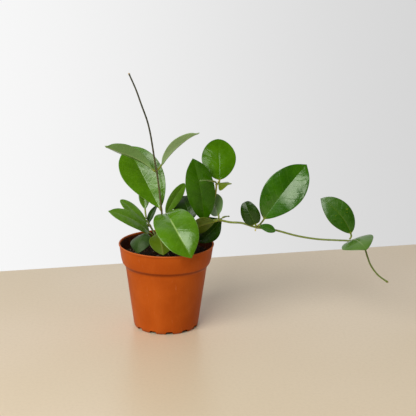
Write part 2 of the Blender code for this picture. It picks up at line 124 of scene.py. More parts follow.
# leaves: at = point on the stem's centre line, base and tip of the blade,
# w = greatest width, face = where the upper side looks, arch = how far the
# midrib's two inner controls rise to the upper side, sweep = the same
# sideways, fold = slope of the two halves, roll = how far the margins bend
# back, twist in degrees, k/q/ac = outline (place of the widest part,
# roundness, drawn-out tip); kl/ql/wl and kr/qr/wr change one half only
LEAVES = {
    "leaf_back_left": dict(stem="stem_upright", at=(-6, 8, 138), base=(-9, 12, 149),
        tip=(-51.3, 40, 223.2), w=51, face=(0.02, -0.9, 0.57), arch=(0.5, 1), sweep=(0, 0),
        fold=0.38, roll=0.1, twist=0, k=1.1, q=0.6, ac=0.35, kl=1.5),
    "leaf_upper_left": dict(stem="stem_upright", at=(-13, 10, 198), base=(-17, 7, 200),
        tip=(-75, -12, 233.5), w=24, face=(-0.10, 0.65, 0.75), arch=(10, 0), sweep=(0, 0),
        fold=0.65, roll=0.1, twist=0, k=1.15, q=0.7, ac=0.4, kl=1.35),
    "leaf_upper_right": dict(stem="stem_upright", at=(-13, 10, 198), base=(-7, 6, 206),
        tip=(40, -16, 252), w=19, face=(-0.35, 0.60, 0.70), arch=(7, 8), sweep=(0, 0),
        fold=0.65, roll=0.1, twist=0, k=1.05, q=0.75, ac=0.4),
    "leaf_small_left": dict(stem="stem_left", at=(-26, 16, 133), base=(-28, 22, 145),
        tip=(-32, 36, 180), w=14, face=(0.1, -0.95, 0.3), arch=(1, 2), sweep=(0, 0),
        fold=0.25, roll=0.1, twist=0, k=0.8, q=0.8, ac=0.3),
    "leaf_low_left": dict(stem="stem_left", at=(-13, -1, 115), base=(-21, -6, 122),
        tip=(-71, -22, 154), w=22, face=(0.2, -0.62, 0.75), arch=(11, 10), sweep=(0, 0),
        fold=0.2, roll=0.15, twist=0, k=1.05, q=0.57, ac=0.3),
    "leaf_low_left_back": dict(stem="stem_left", at=(-18, 5, 123), base=(-25, 9, 128),
        tip=(-59, 18, 158), w=18, face=(0.4, -0.55, 0.7), arch=(1, 3), sweep=(0, 0),
        fold=0.2, roll=0.15, twist=0, k=1.15, q=0.52, ac=0.0),
    "leaf_dark_narrow": dict(stem="stem_left", at=(-22, 10, 128), base=(-24, 20, 126),
        tip=(-12, 30, 149.5), w=12, face=(-0.7, -0.6, 0.3), arch=(1, 1), sweep=(-2, -2),
        fold=0.3, roll=0.1, twist=0, k=0.9, q=0.8, ac=0.3),
    "leaf_pot_left": dict(stem="stem_left", at=(-8.7, -4, 98), base=(-24, -17.5, 124.5),
        tip=(-33, -38, 105), w=35, face=(-0.35, -0.62, 0.7), arch=(10, 9), sweep=(0, 0),
        fold=-0.1, roll=0.35, twist=0, k=0.95, q=0.6, ac=0.2, wl=0.74),
    "leaf_pot_front": dict(stem="stem_left", at=(-10, -3, 108), base=(-10, -19, 124.5),
        tip=(-2, -46, 105.5), w=30, face=(-0.2, 0.6, -0.7), arch=(-6, -6), sweep=(0, 0),
        fold=0.15, roll=0.2, twist=0, k=1.0, q=0.65, ac=0.3),
    "leaf_front": dict(stem="stem_upright", at=(-5, 8, 120), base=(-1, 5, 144),
        tip=(33, -65, 108.5), w=50, face=(0.0, -0.75, 0.66), arch=(30, 25), sweep=(4, 5),
        fold=0.36, roll=0.22, twist=0, k=0.9, q=0.55, ac=0.3, kl=1.3, kr=1.2, wl=1.05, wr=0.95, qr=0.48),
    "leaf_mid": dict(stem="stem_upright", at=(-5, 8, 110), base=(-1, 15, 142),
        tip=(22, 24, 179), w=16, face=(0.5, -0.75, 0.4), arch=(3, 4), sweep=(-3, -3),
        fold=0.3, roll=0.1, twist=0, k=1.1, q=0.55, ac=0.0),
    "leaf_mid_dark": dict(stem="stem_right", at=(36, 12, 112), base=(31, 16, 134),
        tip=(19, 42, 158), w=34, face=(-0.2, -0.6, 0.75), arch=(4, 5), sweep=(0, 0),
        fold=0.4, roll=0.1, twist=0, k=0.85, q=0.6, ac=0.1),
    "leaf_right_tall": dict(stem="stem_right", at=(46, 7, 130), base=(47, 1, 138.5),
        tip=(32, -1, 217), w=36, face=(0.1, -0.95, 0.2), arch=(3, 4), sweep=(3, 3),
        fold=0.35, roll=0.3, twist=0, k=1.02, q=0.56, ac=0.35),
    "leaf_right_round": dict(stem="stem_right", at=(62, 5, 185), base=(65.5, 9, 188),
        tip=(63, 32, 235), w=43, face=(0.05, -0.93, 0.35), arch=(5, 4), sweep=(0, 0),
        fold=0.05, roll=0.08, twist=0, k=1.04, q=0.52, ac=0.0),
    "leaf_right_olive": dict(stem="stem_right", at=(62.0, 4.0, 182.7), base=(64.8, 0.9, 185.0),
        tip=(80.5, -12, 188.3), w=18, face=(0.0, -0.5, 0.85), arch=(0, 0), sweep=(0, 0),
        fold=-0.5, roll=0.0, twist=0, k=0.5, q=0.85, ac=0.3),
    "leaf_right_sliver": dict(stem="stem_right", at=(62, 5, 185), base=(56.0, -6.8, 190.2),
        tip=(41, -24, 194.5), w=11, face=(0.2, 0.25, 0.95), arch=(1, 1), sweep=(0, 0),
        fold=0.2, roll=0.0, twist=0, k=0.9, q=0.8, ac=0.3),
    "leaf_runner_back": dict(stem="stem_runner", at=(65, 1, 138), base=(65, 8, 143),
        tip=(52.5, 30, 163), w=29, face=(-0.1, 0.85, 0.5), arch=(3, 3), sweep=(0, 0),
        fold=0.2, roll=0.1, twist=0, k=1.0, q=0.62, ac=0.2),
    "leaf_runner_olive": dict(stem="stem_runner", at=(65, 1, 138), base=(60, -9, 139),
        tip=(26, -16, 127), w=34, face=(-0.1, 0.75, 0.66), arch=(2, 2), sweep=(0, 0),
        fold=0.1, roll=0.1, twist=0, k=0.9, q=0.7, ac=0.3),
    "leaf_runner_small": dict(stem="stem_runner", at=(66, 1, 138), base=(71, 3.5, 141),
        tip=(79, 12, 140), w=6, face=(0.0, 0.3, 0.95), arch=(1, 1), sweep=(0, 0),
        fold=0.2, roll=0.0, twist=0, k=0.9, q=0.8, ac=0.3),
    "leaf_runner_dark": dict(stem="stem_runner", at=(65, 1, 138), base=(68, 10, 135.5),
        tip=(41, 14, 104), w=34, face=(-0.2, -0.85, 0.4), arch=(-7, -6), sweep=(0, 0),
        fold=0.6, roll=0.1, twist=0, k=0.85, q=0.6, ac=0.2, kl=0.9, kr=0.7, wr=1.1, wl=0.8),
    "leaf_runner_rounded": dict(stem="stem_runner", at=(112, -2, 130.3), base=(111, -5, 135),
        tip=(98, 2, 162), w=24, face=(-0.4, -0.85, 0.3), arch=(3, 4), sweep=(0, 0),
        fold=0.25, roll=0.3, twist=0, k=0.8, q=0.3, ac=0.0),
    "leaf_runner_low": dict(stem="stem_runner", at=(118, -3, 129.7), base=(116, -10, 135),
        tip=(135.5, -15, 128.8), w=13, face=(0.1, -0.6, 0.8), arch=(1, 1), sweep=(0, 0),
        fold=0.2, roll=0.1, twist=0, k=1.15, q=0.6, ac=0.0),
    "leaf_runner_large": dict(stem="stem_runner", at=(113, -2, 130), base=(122, -1, 141),
        tip=(174, 14, 208), w=49, face=(-0.1, -0.93, 0.23), arch=(5.5, 7), sweep=(-2, -2),
        fold=0.28, roll=0.12, twist=0, k=0.92, q=0.62, ac=0.35, kr=1.12, qr=0.66),
    "leaf_end_tall": dict(stem="stem_runner", at=(226, -18.5, 119), base=(229, -16, 128),
        tip=(191, -4, 169), w=31, face=(-0.2, -0.9, 0.4), arch=(3, 4), sweep=(7, 6.5),
        fold=0.14, roll=0.1, twist=0, k=0.95, q=0.62, ac=0.35),
    "leaf_end_heart": dict(stem="stem_runner", at=(229, -19, 119), base=(229.5, -24.5, 121.5),
        tip=(243.5, -58, 120), w=43, face=(-0.11, -0.5, 0.84), arch=(8, 7), sweep=(0, 0),
        fold=0.05, roll=0.17, twist=0, k=0.8, q=0.55, ac=0.0),
}


# ------------------------------------------------------------- curve helpers
def vec(p):
    return np.asarray(p, float)


def unit(v):
    v = np.asarray(v, float)
    return v / max(np.linalg.norm(v), 1e-12)


def bezier(p0, p1, p2, p3, t):
    t = np.asarray(t, float)[:, None]
    return ((1 - t) ** 3 * p0 + 3 * (1 - t) ** 2 * t * p1
            + 3 * (1 - t) * t ** 2 * p2 + t ** 3 * p3)


def smooth_path(pts, n):
    """n points spread evenly along a centripetal Catmull-Rom curve."""
    p = np.asarray(pts, float)
    p = np.vstack([2 * p[0] - p[1], p, 2 * p[-1] - p[-2]])
    out = []
    for i in range(1, len(p) - 2):
        a, b, c, d = p[i - 1], p[i], p[i + 1], p[i + 2]
        t0 = 0.0
        t1 = t0 + np.linalg.norm(b - a) ** 0.5
        t2 = t1 + np.linalg.norm(c - b) ** 0.5
        t3 = t2 + np.linalg.norm(d - c) ** 0.5
        for t in np.linspace(t1, t2, 24, endpoint=False):
            a1 = (t1 - t) / (t1 - t0) * a + (t - t0) / (t1 - t0) * b
            a2 = (t2 - t) / (t2 - t1) * b + (t - t1) / (t2 - t1) * c
            a3 = (t3 - t) / (t3 - t2) * c + (t - t2) / (t3 - t2) * d
            b1 = (t2 - t) / (t2 - t0) * a1 + (t - t0) / (t2 - t0) * a2
            b2 = (t3 - t) / (t3 - t1) * a2 + (t - t1) / (t3 - t1) * a3
            out.append((t2 - t) / (t2 - t1) * b1 + (t - t1) / (t2 - t1) * b2)
    out.append(p[-2])
    out = np.array(out)
    s = np.concatenate([[0], np.cumsum(np.linalg.norm(np.diff(out, axis=0), axis=1))])
    u = np.linspace(0, s[-1], n)
    return np.stack([np.interp(u, s, out[:, k]) for k in range(3)], 1)


def stem_line(spec):
    """Centre line and radius of a stem."""
    path = smooth_path(spec["pts"], spec["n"])
    s = np.concatenate([[0], np.cumsum(np.linalg.norm(np.diff(path, axis=0), axis=1))])
    r = spec["r"][0] + (spec["r"][1] - spec["r"][0]) * s / s[-1]
    for node in spec["nodes"]:
        d = np.linalg.norm(path - vec(node), axis=1)
        r = r * (1 + 0.30 * np.exp(-(d / 3.0) ** 2))
    left = s[-1] - s
    r = r * (1 + (spec["knob"] - 1) * np.exp(-(left / 2.5) ** 2))
    return path, r


def outline(s, k, q, ac):
    """Half-width of a blade as a share of the greatest one, s from 0 to 1."""
    s = np.clip(np.asarray(s, float), 0, 1)
    f = np.sin(np.pi * s ** k) ** q if k >= 1 else np.sin(np.pi * (1 - (1 - s) ** (1 / k))) ** q
    t = np.clip((s - 0.8) / 0.2, 0, 1)
    return f * (1 - ac * t * t)


def leaf_frames(spec, path_of_stem, radius_of_stem, s_stalk, s_blade):
    """Points along the stalk and the midrib, with side and upward directions."""
    base, tip, at = vec(spec["base"]), vec(spec["tip"]), vec(spec["at"])
    d = tip - base
    t0 = unit(d)
    face = vec(spec["face"])
    n0 = unit(face - np.dot(face, t0) * t0)
    s0 = np.cross(t0, n0)
    a, b = spec["arch"], spec["sweep"]
    p1 = base + d / 3 + n0 * a[0] + s0 * b[0]
    p2 = base + d * 2 / 3 + n0 * a[1] + s0 * b[1]
    blade = bezier(base, p1, p2, tip, s_blade)
    first = unit(p1 - base)
    reach = np.linalg.norm(base - at)
    c2 = base - first * reach * 0.4
    # the stalk starts just clear of its stem
    out = unit(c2 - at)
    k = int(np.argmin(np.linalg.norm(path_of_stem - at, axis=1)))
    lo, hi = max(k - 1, 0), min(k + 1, len(path_of_stem) - 1)
    axis = unit(path_of_stem[hi] - path_of_stem[lo])
    sin_a = max(np.linalg.norm(np.cross(out, axis)), 0.35)
    cos_a = abs(np.dot(out, axis))
    r = radius_of_stem[max(k - 1, 0):k + 2].max()
    clear = (r + GAP + 0.15 + PETIOLE_R * 1.2 * cos_a) / sin_a
    ahead = np.dot(out, axis)
    if k == len(path_of_stem) - 1 and ahead > 0.3:
        # a leaf that carries on past the stem's end only has to clear the end face
        clear = min(clear, (GAP + 0.2 + PETIOLE_R * math.sqrt(1 - ahead ** 2)) / ahead)
    start = at + out * clear
    c1 = start + out * reach * 0.3
    stalk = bezier(start, c1, c2, base, s_stalk)
    line = np.vstack([stalk[:-1], blade])
    tang = np.gradient(line, axis=0)
    dense = np.vstack([bezier(start, c1, c2, base, np.array([0.0, 0.01]))])
    tang[0] = dense[1] - dense[0]
    tang = np.array([unit(t) for t in tang])
    n_rows = len(line)
    mid = len(stalk) - 1 + len(blade) // 2
    normal = np.zeros((n_rows, 3))
    normal[mid] = unit(n0 - np.dot(n0, tang[mid]) * tang[mid])
    for i in range(mid + 1, n_rows):
        v = normal[i - 1]
        normal[i] = unit(v - np.dot(v, tang[i]) * tang[i])
    for i in range(mid - 1, -1, -1):
        v = normal[i + 1]
        normal[i] = unit(v - np.dot(v, tang[i]) * tang[i])
    side = np.cross(tang, normal)
    return line, tang, normal, side, len(stalk) - 1


S_STALK = np.array([0.0, 0.5, 1.0])
S_BLADE = np.array([0.0, 0.035, 0.11, 0.23, 0.38, 0.54, 0.70, 0.84, 0.94, 1.0])
LATERAL = np.array([-1.0, -0.55, 0.0, 0.55, 1.0])


def leaf_surface(spec, stem, s_stalk=S_STALK, s_blade=S_BLADE, lateral=LATERAL):
    """Rows of points across a leaf, and the thickness share of each."""
    path, radius = stem
    line, tang, normal, side, k0 = leaf_frames(spec, path, radius, s_stalk, s_blade)
    rows, thick = [], []
    half = spec["w"] / 2
    for i, p in enumerate(line):
        if i < k0:
            w, s = PETIOLE_R, 0.0
            wl = wr = w
        else:
            s = s_blade[i - k0]
            floor = PETIOLE_R * (1 - s) + 0.3 * s
            w = max(half * outline([s], spec["k"], spec["q"], spec["ac"])[0], floor)
            wl = max(half * spec.get("wl", 1.0) * outline(
                [s], spec.get("kl", spec["k"]), spec.get("ql", spec["q"]), spec["ac"])[0], floor)
            wr = max(half * spec.get("wr", 1.0) * outline(
                [s], spec.get("kr", spec["k"]), spec.get("qr", spec["q"]), spec["ac"])[0], floor)
        ang = math.radians(spec["twist"]) * (s - 0.5)
        n = normal[i] * math.cos(ang) + side[i] * math.sin(ang)
        e = side[i] * math.cos(ang) - normal[i] * math.sin(ang)
        wide = min(1.0, max(0.0, (w - PETIOLE_R) / (0.35 * half)))
        x = np.where(lateral < 0, lateral * wl, lateral * wr)
        lift = spec["fold"] * np.abs(x) * wide - spec["roll"] * x * x / half * wide
        rows.append(p + np.outer(x, e) + np.outer(lift, n))
        core = 1 + (BLADE_T - 1) * wide
        edge = 1 + (MARGIN_T - 1) * wide
        if s > 0.9:
            core = edge = MARGIN_T
        thick.append(core + (edge - core) * np.abs(lateral) ** 2)
    return np.array(rows), np.array(thick)


# ------------------------------------------------------------ node materials
def srgb(r, g, b):
    """8-bit display colour to linear."""
    out = []
    for c in (r, g, b):
        c = c / 255.0
        out.append(c / 12.92 if c <= 0.04045 else ((c + 0.055) / 1.055) ** 2.4)
    return tuple(out) + (1.0,)


class Nodes:
    """Short helpers for one material's node tree."""

    def __init__(self, name, display):
        self.mat = bpy.data.materials.new(name)
        self.mat.use_nodes = True
        self.mat.diffuse_color = display
        self.tree = self.mat.node_tree
        self.shader = self.tree.nodes["Principled BSDF"]
        self.coords = self.tree.nodes.new("ShaderNodeTexCoord")

    def new(self, kind, **props):
        node = self.tree.nodes.new(kind)
        for k, v in props.items():
            setattr(node, k, v)
        return node

    def link(self, a, b):
        self.tree.links.new(a, b)

    def put(self, socket, value):
        if isinstance(value, bpy.types.NodeSocket):
            self.link(value, socket)
        else:
            socket.default_value = value

    def math(self, op, a, b=0.0, c=0.0, clamp=False):
        node = self.new("ShaderNodeMath", operation=op, use_clamp=clamp)
        self.put(node.inputs[0], a)
        self.put(node.inputs[1], b)
        self.put(node.inputs[2], c)
        return node.outputs[0]

    def ramp(self, value, lo, hi, out_lo=0.0, out_hi=1.0):
        node = self.new("ShaderNodeMapRange", interpolation_type='SMOOTHSTEP')
        self.put(node.inputs["Value"], value)
        self.put(node.inputs["From Min"], lo)
        self.put(node.inputs["From Max"], hi)
        self.put(node.inputs["To Min"], out_lo)
        self.put(node.inputs["To Max"], out_hi)
        return node.outputs["Result"]

    def noise(self, scale, detail=3.0, rough=0.55, distortion=0.0, offset=(0, 0, 0), stretch=(1, 1, 1)):
        place = self.new("ShaderNodeMapping")
        self.link(self.coords.outputs["Object"], place.inputs["Vector"])
        place.inputs["Location"].default_value = offset
        place.inputs["Scale"].default_value = stretch
        node = self.new("ShaderNodeTexNoise")
        self.link(place.outputs["Vector"], node.inputs["Vector"])
        node.inputs["Scale"].default_value = scale
        node.inputs["Detail"].default_value = detail
        node.inputs["Roughness"].default_value = rough
        node.inputs["Distortion"].default_value = distortion
        return node.outputs["Fac"]

    def voronoi(self, scale, feature='F1', offset=(0, 0, 0)):
        place = self.new("ShaderNodeMapping")
        self.link(self.coords.outputs["Object"], place.inputs["Vector"])
        place.inputs["Location"].default_value = offset
        node = self.new("ShaderNodeTexVoronoi", feature=feature)
        self.link(place.outputs["Vector"], node.inputs["Vector"])
        node.inputs["Scale"].default_value = scale
        return node

    def attribute(self, name):
        return self.new("ShaderNodeAttribute", attribute_name=name).outputs["Fac"]

    def mix(self, fac, a, b, blend='MIX'):
        node = self.new("ShaderNodeMix", data_type='RGBA', blend_type=blend)
        self.put(node.inputs["Factor"], fac)
        self.put(node.inputs["A"], a)
        self.put(node.inputs["B"], b)
        return node.outputs["Result"]

    def bump(self, height, strength, distance, normal=None):
        node = self.new("ShaderNodeBump")
        self.put(node.inputs["Height"], height)
        node.inputs["Strength"].default_value = strength
        node.inputs["Distance"].default_value = distance
        if normal is not None:
            self.link(normal, node.inputs["Normal"])
        return node.outputs["Normal"]

    def finish(self, colour, roughness, normal, **uniform):
        self.put(self.shader.inputs["Base Color"], colour)
        self.put(self.shader.inputs["Roughness"], roughness)
        if normal is not None:
            self.link(normal, self.shader.inputs["Normal"])
        for name, value in uniform.items():
            self.shader.inputs[name.replace("_", " ")].default_value = value
        return self.mat


def leaf_material(name, top, top2, under, rib, mottle, gloss, seed, coat=0.5, rib_w=0.5, ribbed=0.22,
                  streak=(0.0, 1.0), shine=0.5, waxed=None,
                  waxed_slope=0.0):
    """Waxy leaf: lx = mm from the midrib, lu = share of the half-width, ls = along the blade
    (below 0 on the stalk), lt = +1 on the upper side and -1 on the underside."""
    n = Nodes(name, top)
    lx, lu = n.attribute("lx"), n.attribute("lu")
    ls, lt = n.attribute("ls"), n.attribute("lt")
    off = (seed * 0.137, seed * 0.071, seed * 0.193)
    broad = n.noise(38, 2.0, 0.5, 0.2, off)
    fine = n.noise(230, 4.0, 0.6, 0.0, off)
    cells = n.voronoi(900, offset=off)
    ax = n.math('ABSOLUTE', lx)
    au = n.math('ABSOLUTE', lu)
    # upper side: two greens in soft clouds
    cloud = n.ramp(n.math('ADD', n.math('MULTIPLY', broad, 0.75), n.math('MULTIPLY', fine, 0.25)), 0.36, 0.64)
    up = n.mix(cloud, top, top2)
    # faint side veins, running forward from the midrib
    vein_at = n.math('SUBTRACT', n.math('MULTIPLY', ls, 8.5), n.math('MULTIPLY', au, 1.6))
    vein_at = n.math('ADD', vein_at, n.math('MULTIPLY', broad, 0.9))
    vein = n.math('ABSOLUTE', n.math('SUBTRACT', n.math('FRACT', vein_at), 0.5))
    vein = n.ramp(vein, 0.0, 0.13, 1.0, 0.0)
    vein = n.math('MULTIPLY', vein, n.ramp(au, 0.75, 0.97, 1.0, 0.0))
    pale = (rib[0], rib[1], rib[2] * 0.2, 1.0)
    up = n.mix(n.math('MULTIPLY', vein, 0.035), up, pale)
    # pale flecks of old sap
    fleck = n.ramp(n.noise(310, 1.0, 0.4, 0.6, (off[1], off[2], off[0])), 0.70, 0.78)
    up = n.mix(n.math('MULTIPLY', fleck, mottle), up, pale)
    # midrib line, and a thin margin painted paler as a painted highlight along the edge
    rib_mask = n.math('MULTIPLY', n.ramp(ax, rib_w * 0.45, rib_w * 1.5, 1.0, 0.0),
                      n.ramp(ls, 0.55, 1.0, 1.0, 0.15))
    # on leaf_front the pale midrib is partly the rib's own colour and partly a painted sheen line, kept to the middle
    # of the blade
    if streak != (0.0, 1.0):
        lo, hi = streak
        rib_mask = n.math('MULTIPLY', rib_mask, n.math('MULTIPLY', n.ramp(ls, lo - 0.03, lo + 0.10, 0.12, 1.0),
                                                       n.ramp(ls, hi - 0.25, hi, 1.0, 0.2)))
    up = n.mix(n.math('MULTIPLY', rib_mask, ribbed), up, rib)
    # painted highlight: the outermost band of each half is painted toward the rib colour
    margin_highlight = n.ramp(au, 0.965, 0.995)
    up = n.mix(n.math('MULTIPLY', margin_highlight, 0.30), up, rib)
    low = n.mix(n.math('MULTIPLY', cloud, 0.5), under, n.mix(0.35, under, top2))
    low = n.mix(n.math('MULTIPLY', n.ramp(ax, 0.5, 1.8, 1.0, 0.0), 0.45), low, rib)
    low = n.mix(n.math('MULTIPLY', vein, 0.05), low, rib)
    side = n.ramp(lt, -0.25, 0.25)
    colour = n.mix(side, low, up)
    stalk = n.mix(n.ramp(fine, 0.4, 0.62), srgb(126, 138, 22), srgb(106, 122, 26))
    colour = n.mix(n.ramp(ls, 0.0, 0.05, 1.0, 0.0), colour, stalk)
    rough = n.math('ADD', n.ramp(fine, 0.3, 0.7, gloss - 0.05, gloss + 0.07),
                   n.math('MULTIPLY', n.math('SUBTRACT', 1.0, side), 0.16))
    if waxed:
        # old wax has dulled outside this stretch of the blade
        a, b, c, d = waxed
        jag = n.math('ADD', ls, n.math('MULTIPLY', n.math('SUBTRACT', broad, 0.5), 0.5))
        jag = n.math('ADD', jag, n.math('MULTIPLY', au, waxed_slope))
        kept = n.math('MULTIPLY', n.ramp(jag, a, b), n.ramp(jag, c, d, 1.0, 0.0))
        worn = n.math('MULTIPLY', n.math('SUBTRACT', 1.0, kept), n.ramp(lx, -0.5, 1.0))
        rough = n.math('ADD', rough, n.math('MULTIPLY', worn, 0.06))
    # the wax skin: broad swells that bend the window's reflection, faint orange peel on top
    swell = n.noise(75, 2.0, 0.5, 0.4, (off[2], off[0], off[1]))
    normal = n.bump(n.math('ADD', n.math('MULTIPLY', fine, 0.7), n.math('MULTIPLY', cells.outputs["Distance"], 0.3)),
                    0.04, 0.0003)
    normal = n.bump(n.math('SUBTRACT', n.math('ADD', broad, n.math('MULTIPLY', swell, 0.55)),
                           n.math('MULTIPLY', vein, 0.05)), 0.55, 0.0022, normal)
    made = n.finish(colour, rough, normal, Coat_Weight=coat, Coat_Roughness=0.10,
                    Specular_IOR_Level=shine, Specular_Tint=(0.92, 1.0, 0.80, 1.0), IOR=1.45)
    if waxed:
        n.put(n.shader.inputs["Specular IOR Level"],
              n.math('MULTIPLY', n.math('SUBTRACT', 1.0, n.math('MULTIPLY', worn, 0.86)), shine))
    return made


def stem_material(name, low, high, speck, seed, gloss=0.45):
    n = Nodes(name, low)
    along, round_ = n.attribute("ls"), n.attribute("lu")
    off = (seed * 0.31, seed * 0.17, 0.0)
    streak = n.noise(160, 4.0, 0.6, 0.3, off, (1.0, 1.0, 0.35))
    spots = n.noise(620, 2.0, 0.5, 0.0, off)
    colour = n.mix(n.ramp(along, 0.15, 0.85), low, high)
    colour = n.mix(n.math('MULTIPLY', n.ramp(streak, 0.42, 0.66), 0.55), colour, speck)
    colour = n.mix(n.math('MULTIPLY', n.ramp(spots, 0.60, 0.72), 0.35), colour, srgb(176, 160, 110))
    # corky ring at each node
    ring = n.attribute("lr")
    colour = n.mix(n.math('MULTIPLY', n.ramp(ring, 0.35, 0.95), 0.6), colour, srgb(122, 98, 52))
    rough = n.ramp(streak, 0.3, 0.7, gloss - 0.06, gloss + 0.14)
    normal = n.bump(streak, 0.35, 0.0005)
    normal = n.bump(spots, 0.25, 0.0002, normal)
    return n.finish(colour, rough, normal, Coat_Weight=0.1, Coat_Roughness=0.3)


def pot_material():
    """Thin moulded plastic: satin, a little cloudy, with fine rubbed marks, darker near the foot; a painted highlight
    on the lip, soiling and painted shade on the inside wall, painted shade under the collar and in the cavity under the
    foot.
    """
    n = Nodes("terracotta_plastic", srgb(178, 86, 34))
    cloud = n.noise(22, 4.0, 0.55, 0.3)
    flow = n.noise(60, 3.0, 0.6, 0.6, (0.3, 0.1, 0.0), (1.0, 1.0, 0.22))
    grain = n.noise(1500, 2.0, 0.6)
    place = n.new("ShaderNodeSeparateXYZ")
    n.link(n.coords.outputs["Object"], place.inputs["Vector"])
    z = place.outputs["Z"]
    r = n.math('SQRT', n.math('ADD', n.math('MULTIPLY', place.outputs["X"], place.outputs["X"]),
                              n.math('MULTIPLY', place.outputs["Y"], place.outputs["Y"])))
    colour = n.mix(n.ramp(cloud, 0.35, 0.68), srgb(184, 84, 18), srgb(172, 75, 12))
    colour = n.mix(n.math('MULTIPLY', n.ramp(flow, 0.52, 0.74), 0.28), colour, srgb(194, 96, 32))
    # painted highlight: the top of the lip is painted paler; soiling and painted shade darken the inside wall below it
    lip = n.ramp(z, POT_HEIGHT * MM - 0.0014, POT_HEIGHT * MM - 0.0002)
    colour = n.mix(n.math('MULTIPLY', lip, 0.40), colour, srgb(206, 118, 66))
    # painted shade under the collar's edge
    shade = n.math('MULTIPLY', n.ramp(z, (POT_STEP_Z + 0.6) * MM, (POT_STEP_Z + 3.0) * MM, 0.0, 0.55),
                   n.ramp(z, (POT_COLLAR_Z + 0.1) * MM, (POT_COLLAR_Z + 0.5) * MM, 1.0, 0.0))
    colour = n.mix(shade, colour, srgb(96, 36, 6))
    foot = n.math('MULTIPLY', n.ramp(z, 0.0, 0.006, 1.0, 0.0), n.ramp(flow, 0.3, 0.7, 0.2, 0.7))
    colour = n.mix(foot, colour, srgb(136, 66, 30))
    # painted shade: the inner faces below 6 mm, under the foot and seen through the notches, are painted near black
    under = n.math('MULTIPLY', n.attribute("inside"), n.ramp(z, 0.006, 0.008, 1.0, 0.0))
    colour = n.mix(n.math('MULTIPLY', under, 0.9), colour, srgb(30, 14, 8))
    # soiling and painted shade on the inside wall below the lip: the wall leans outward, so the inner face is nearer
    # the axis
    inner = n.math('MULTIPLY', n.attribute("inside"), n.ramp(z, POT_HEIGHT * MM - 0.0008, POT_HEIGHT * MM - 0.0030))
    soiling_and_shade = n.math('MULTIPLY', inner, n.ramp(flow, 0.30, 0.62, 0.80, 0.97))
    colour = n.mix(soiling_and_shade, colour, srgb(44, 20, 9))
    scuff = n.ramp(n.noise(420, 2.0, 0.5, 2.5, (0.0, 0.4, 0.2), (1.0, 1.0, 0.08)), 0.66, 0.72)
    colour = n.mix(n.math('MULTIPLY', scuff, 0.16), colour, srgb(214, 140, 98))
    rough = n.math('ADD', n.ramp(cloud, 0.3, 0.7, 0.40, 0.50), n.math('MULTIPLY', scuff, 0.10))
    normal = n.bump(grain, 0.10, 0.0002)
    normal = n.bump(n.math('ADD', flow, cloud), 0.22, 0.0008, normal)
    return n.finish(colour, rough, normal, Specular_IOR_Level=0.30, IOR=1.25)


def soil_material(name, dark, light, seed):
    n = Nodes(name, dark)
    off = (seed * 0.21, 0.1, seed * 0.4)
    crumb = n.voronoi(420, offset=off)
    fine = n.noise(900, 5.0, 0.7, 0.0, off)
    broad = n.noise(70, 3.0, 0.6, 0.0, off)
    colour = n.mix(n.ramp(n.math('ADD', n.math('MULTIPLY', broad, 0.5), n.math('MULTIPLY', fine, 0.5)), 0.42, 0.64), dark, light)
    colour = n.mix(n.ramp(fine, 0.66, 0.74, 0.0, 0.35), colour, srgb(104, 74, 50))
    h = n.math('ADD', n.math('MULTIPLY', crumb.outputs["Distance"], 0.7), n.math('MULTIPLY', fine, 0.6))
    return n.finish(colour, n.ramp(fine, 0.3, 0.7, 0.78, 0.97), n.bump(h, 0.9, 0.0012), Specular_IOR_Level=0.06)


# -------------------------------------------------------------- mesh helpers
def mesh_object(name, verts, faces, mat, attributes=None, smooth=True):
    me = bpy.data.meshes.new(name)
    me.from_pydata([tuple(v) for v in np.asarray(verts, float)], [], [tuple(int(i) for i in f) for f in faces])
    for key, values in (attributes or {}).items():
        at = me.attributes.new(key, 'FLOAT', 'POINT')
        at.data.foreach_set("value", np.asarray(values, np.float32))
    me.validate()
    bm = bmesh.new()
    bm.from_mesh(me)
    bmesh.ops.recalc_face_normals(bm, faces=bm.faces)
    bm.to_mesh(me)
    bm.free()
    for p in me.polygons:
        p.use_smooth = smooth
    me.materials.append(mat)
    ob = bpy.data.objects.new(name, me)
    bpy.context.scene.collection.objects.link(ob)
    return ob


def loops_to_mesh(rings):
    """Closed tube through rings of equal length, with a point at both ends."""
    k, m = len(rings), len(rings[0])
    verts = np.concatenate([np.concatenate(rings), [np.mean(rings[0], 0)], [np.mean(rings[-1], 0)]])
    faces = []
    for i in range(k - 1):
        for j in range(m):
            a, b = i * m + j, i * m + (j + 1) % m
            faces.append((a, b, b + m, a + m))
    for j in range(m):
        faces.append((k * m, (j + 1) % m, j))
        faces.append((k * m + 1, (k - 1) * m + j, (k - 1) * m + (j + 1) % m))
    return verts, faces


# -------------------------------------------------------------------- leaves
FINE_STALK = np.linspace(0.0, 1.0, 10)
_t = np.linspace(0.0, 1.0, 47)
FINE_BLADE = 0.45 * _t + 0.55 * (0.5 - 0.5 * np.cos(np.pi * _t))
INNER = [0.0, 0.018, 0.045, 0.08, 0.13, 0.2, 0.29, 0.39, 0.5, 0.61, 0.72, 0.82, 0.9]
FROM_EDGE = [0.75, 0.40, 0.18, 0.05, 0.0]      # mm


def fine_outline(s, k, q, ac):
    """The part's outline, with a drawn-out point where the table asks for one."""
    f = outline(s, k, q, ac)
    if s > 0.8 and ac > 0.05:
        f8 = outline(0.8, k, q, ac)
        m = (f8 - outline(0.79, k, q, ac)) / 0.01 * 0.2 / f8
        t = (s - 0.8) / 0.2
        g = f8 * (1 - t) * (1 + (m + 1) * t)
        share = min(1.0, ac / 0.3)
        f = (1 - share) * f + share * g
    return float(f)


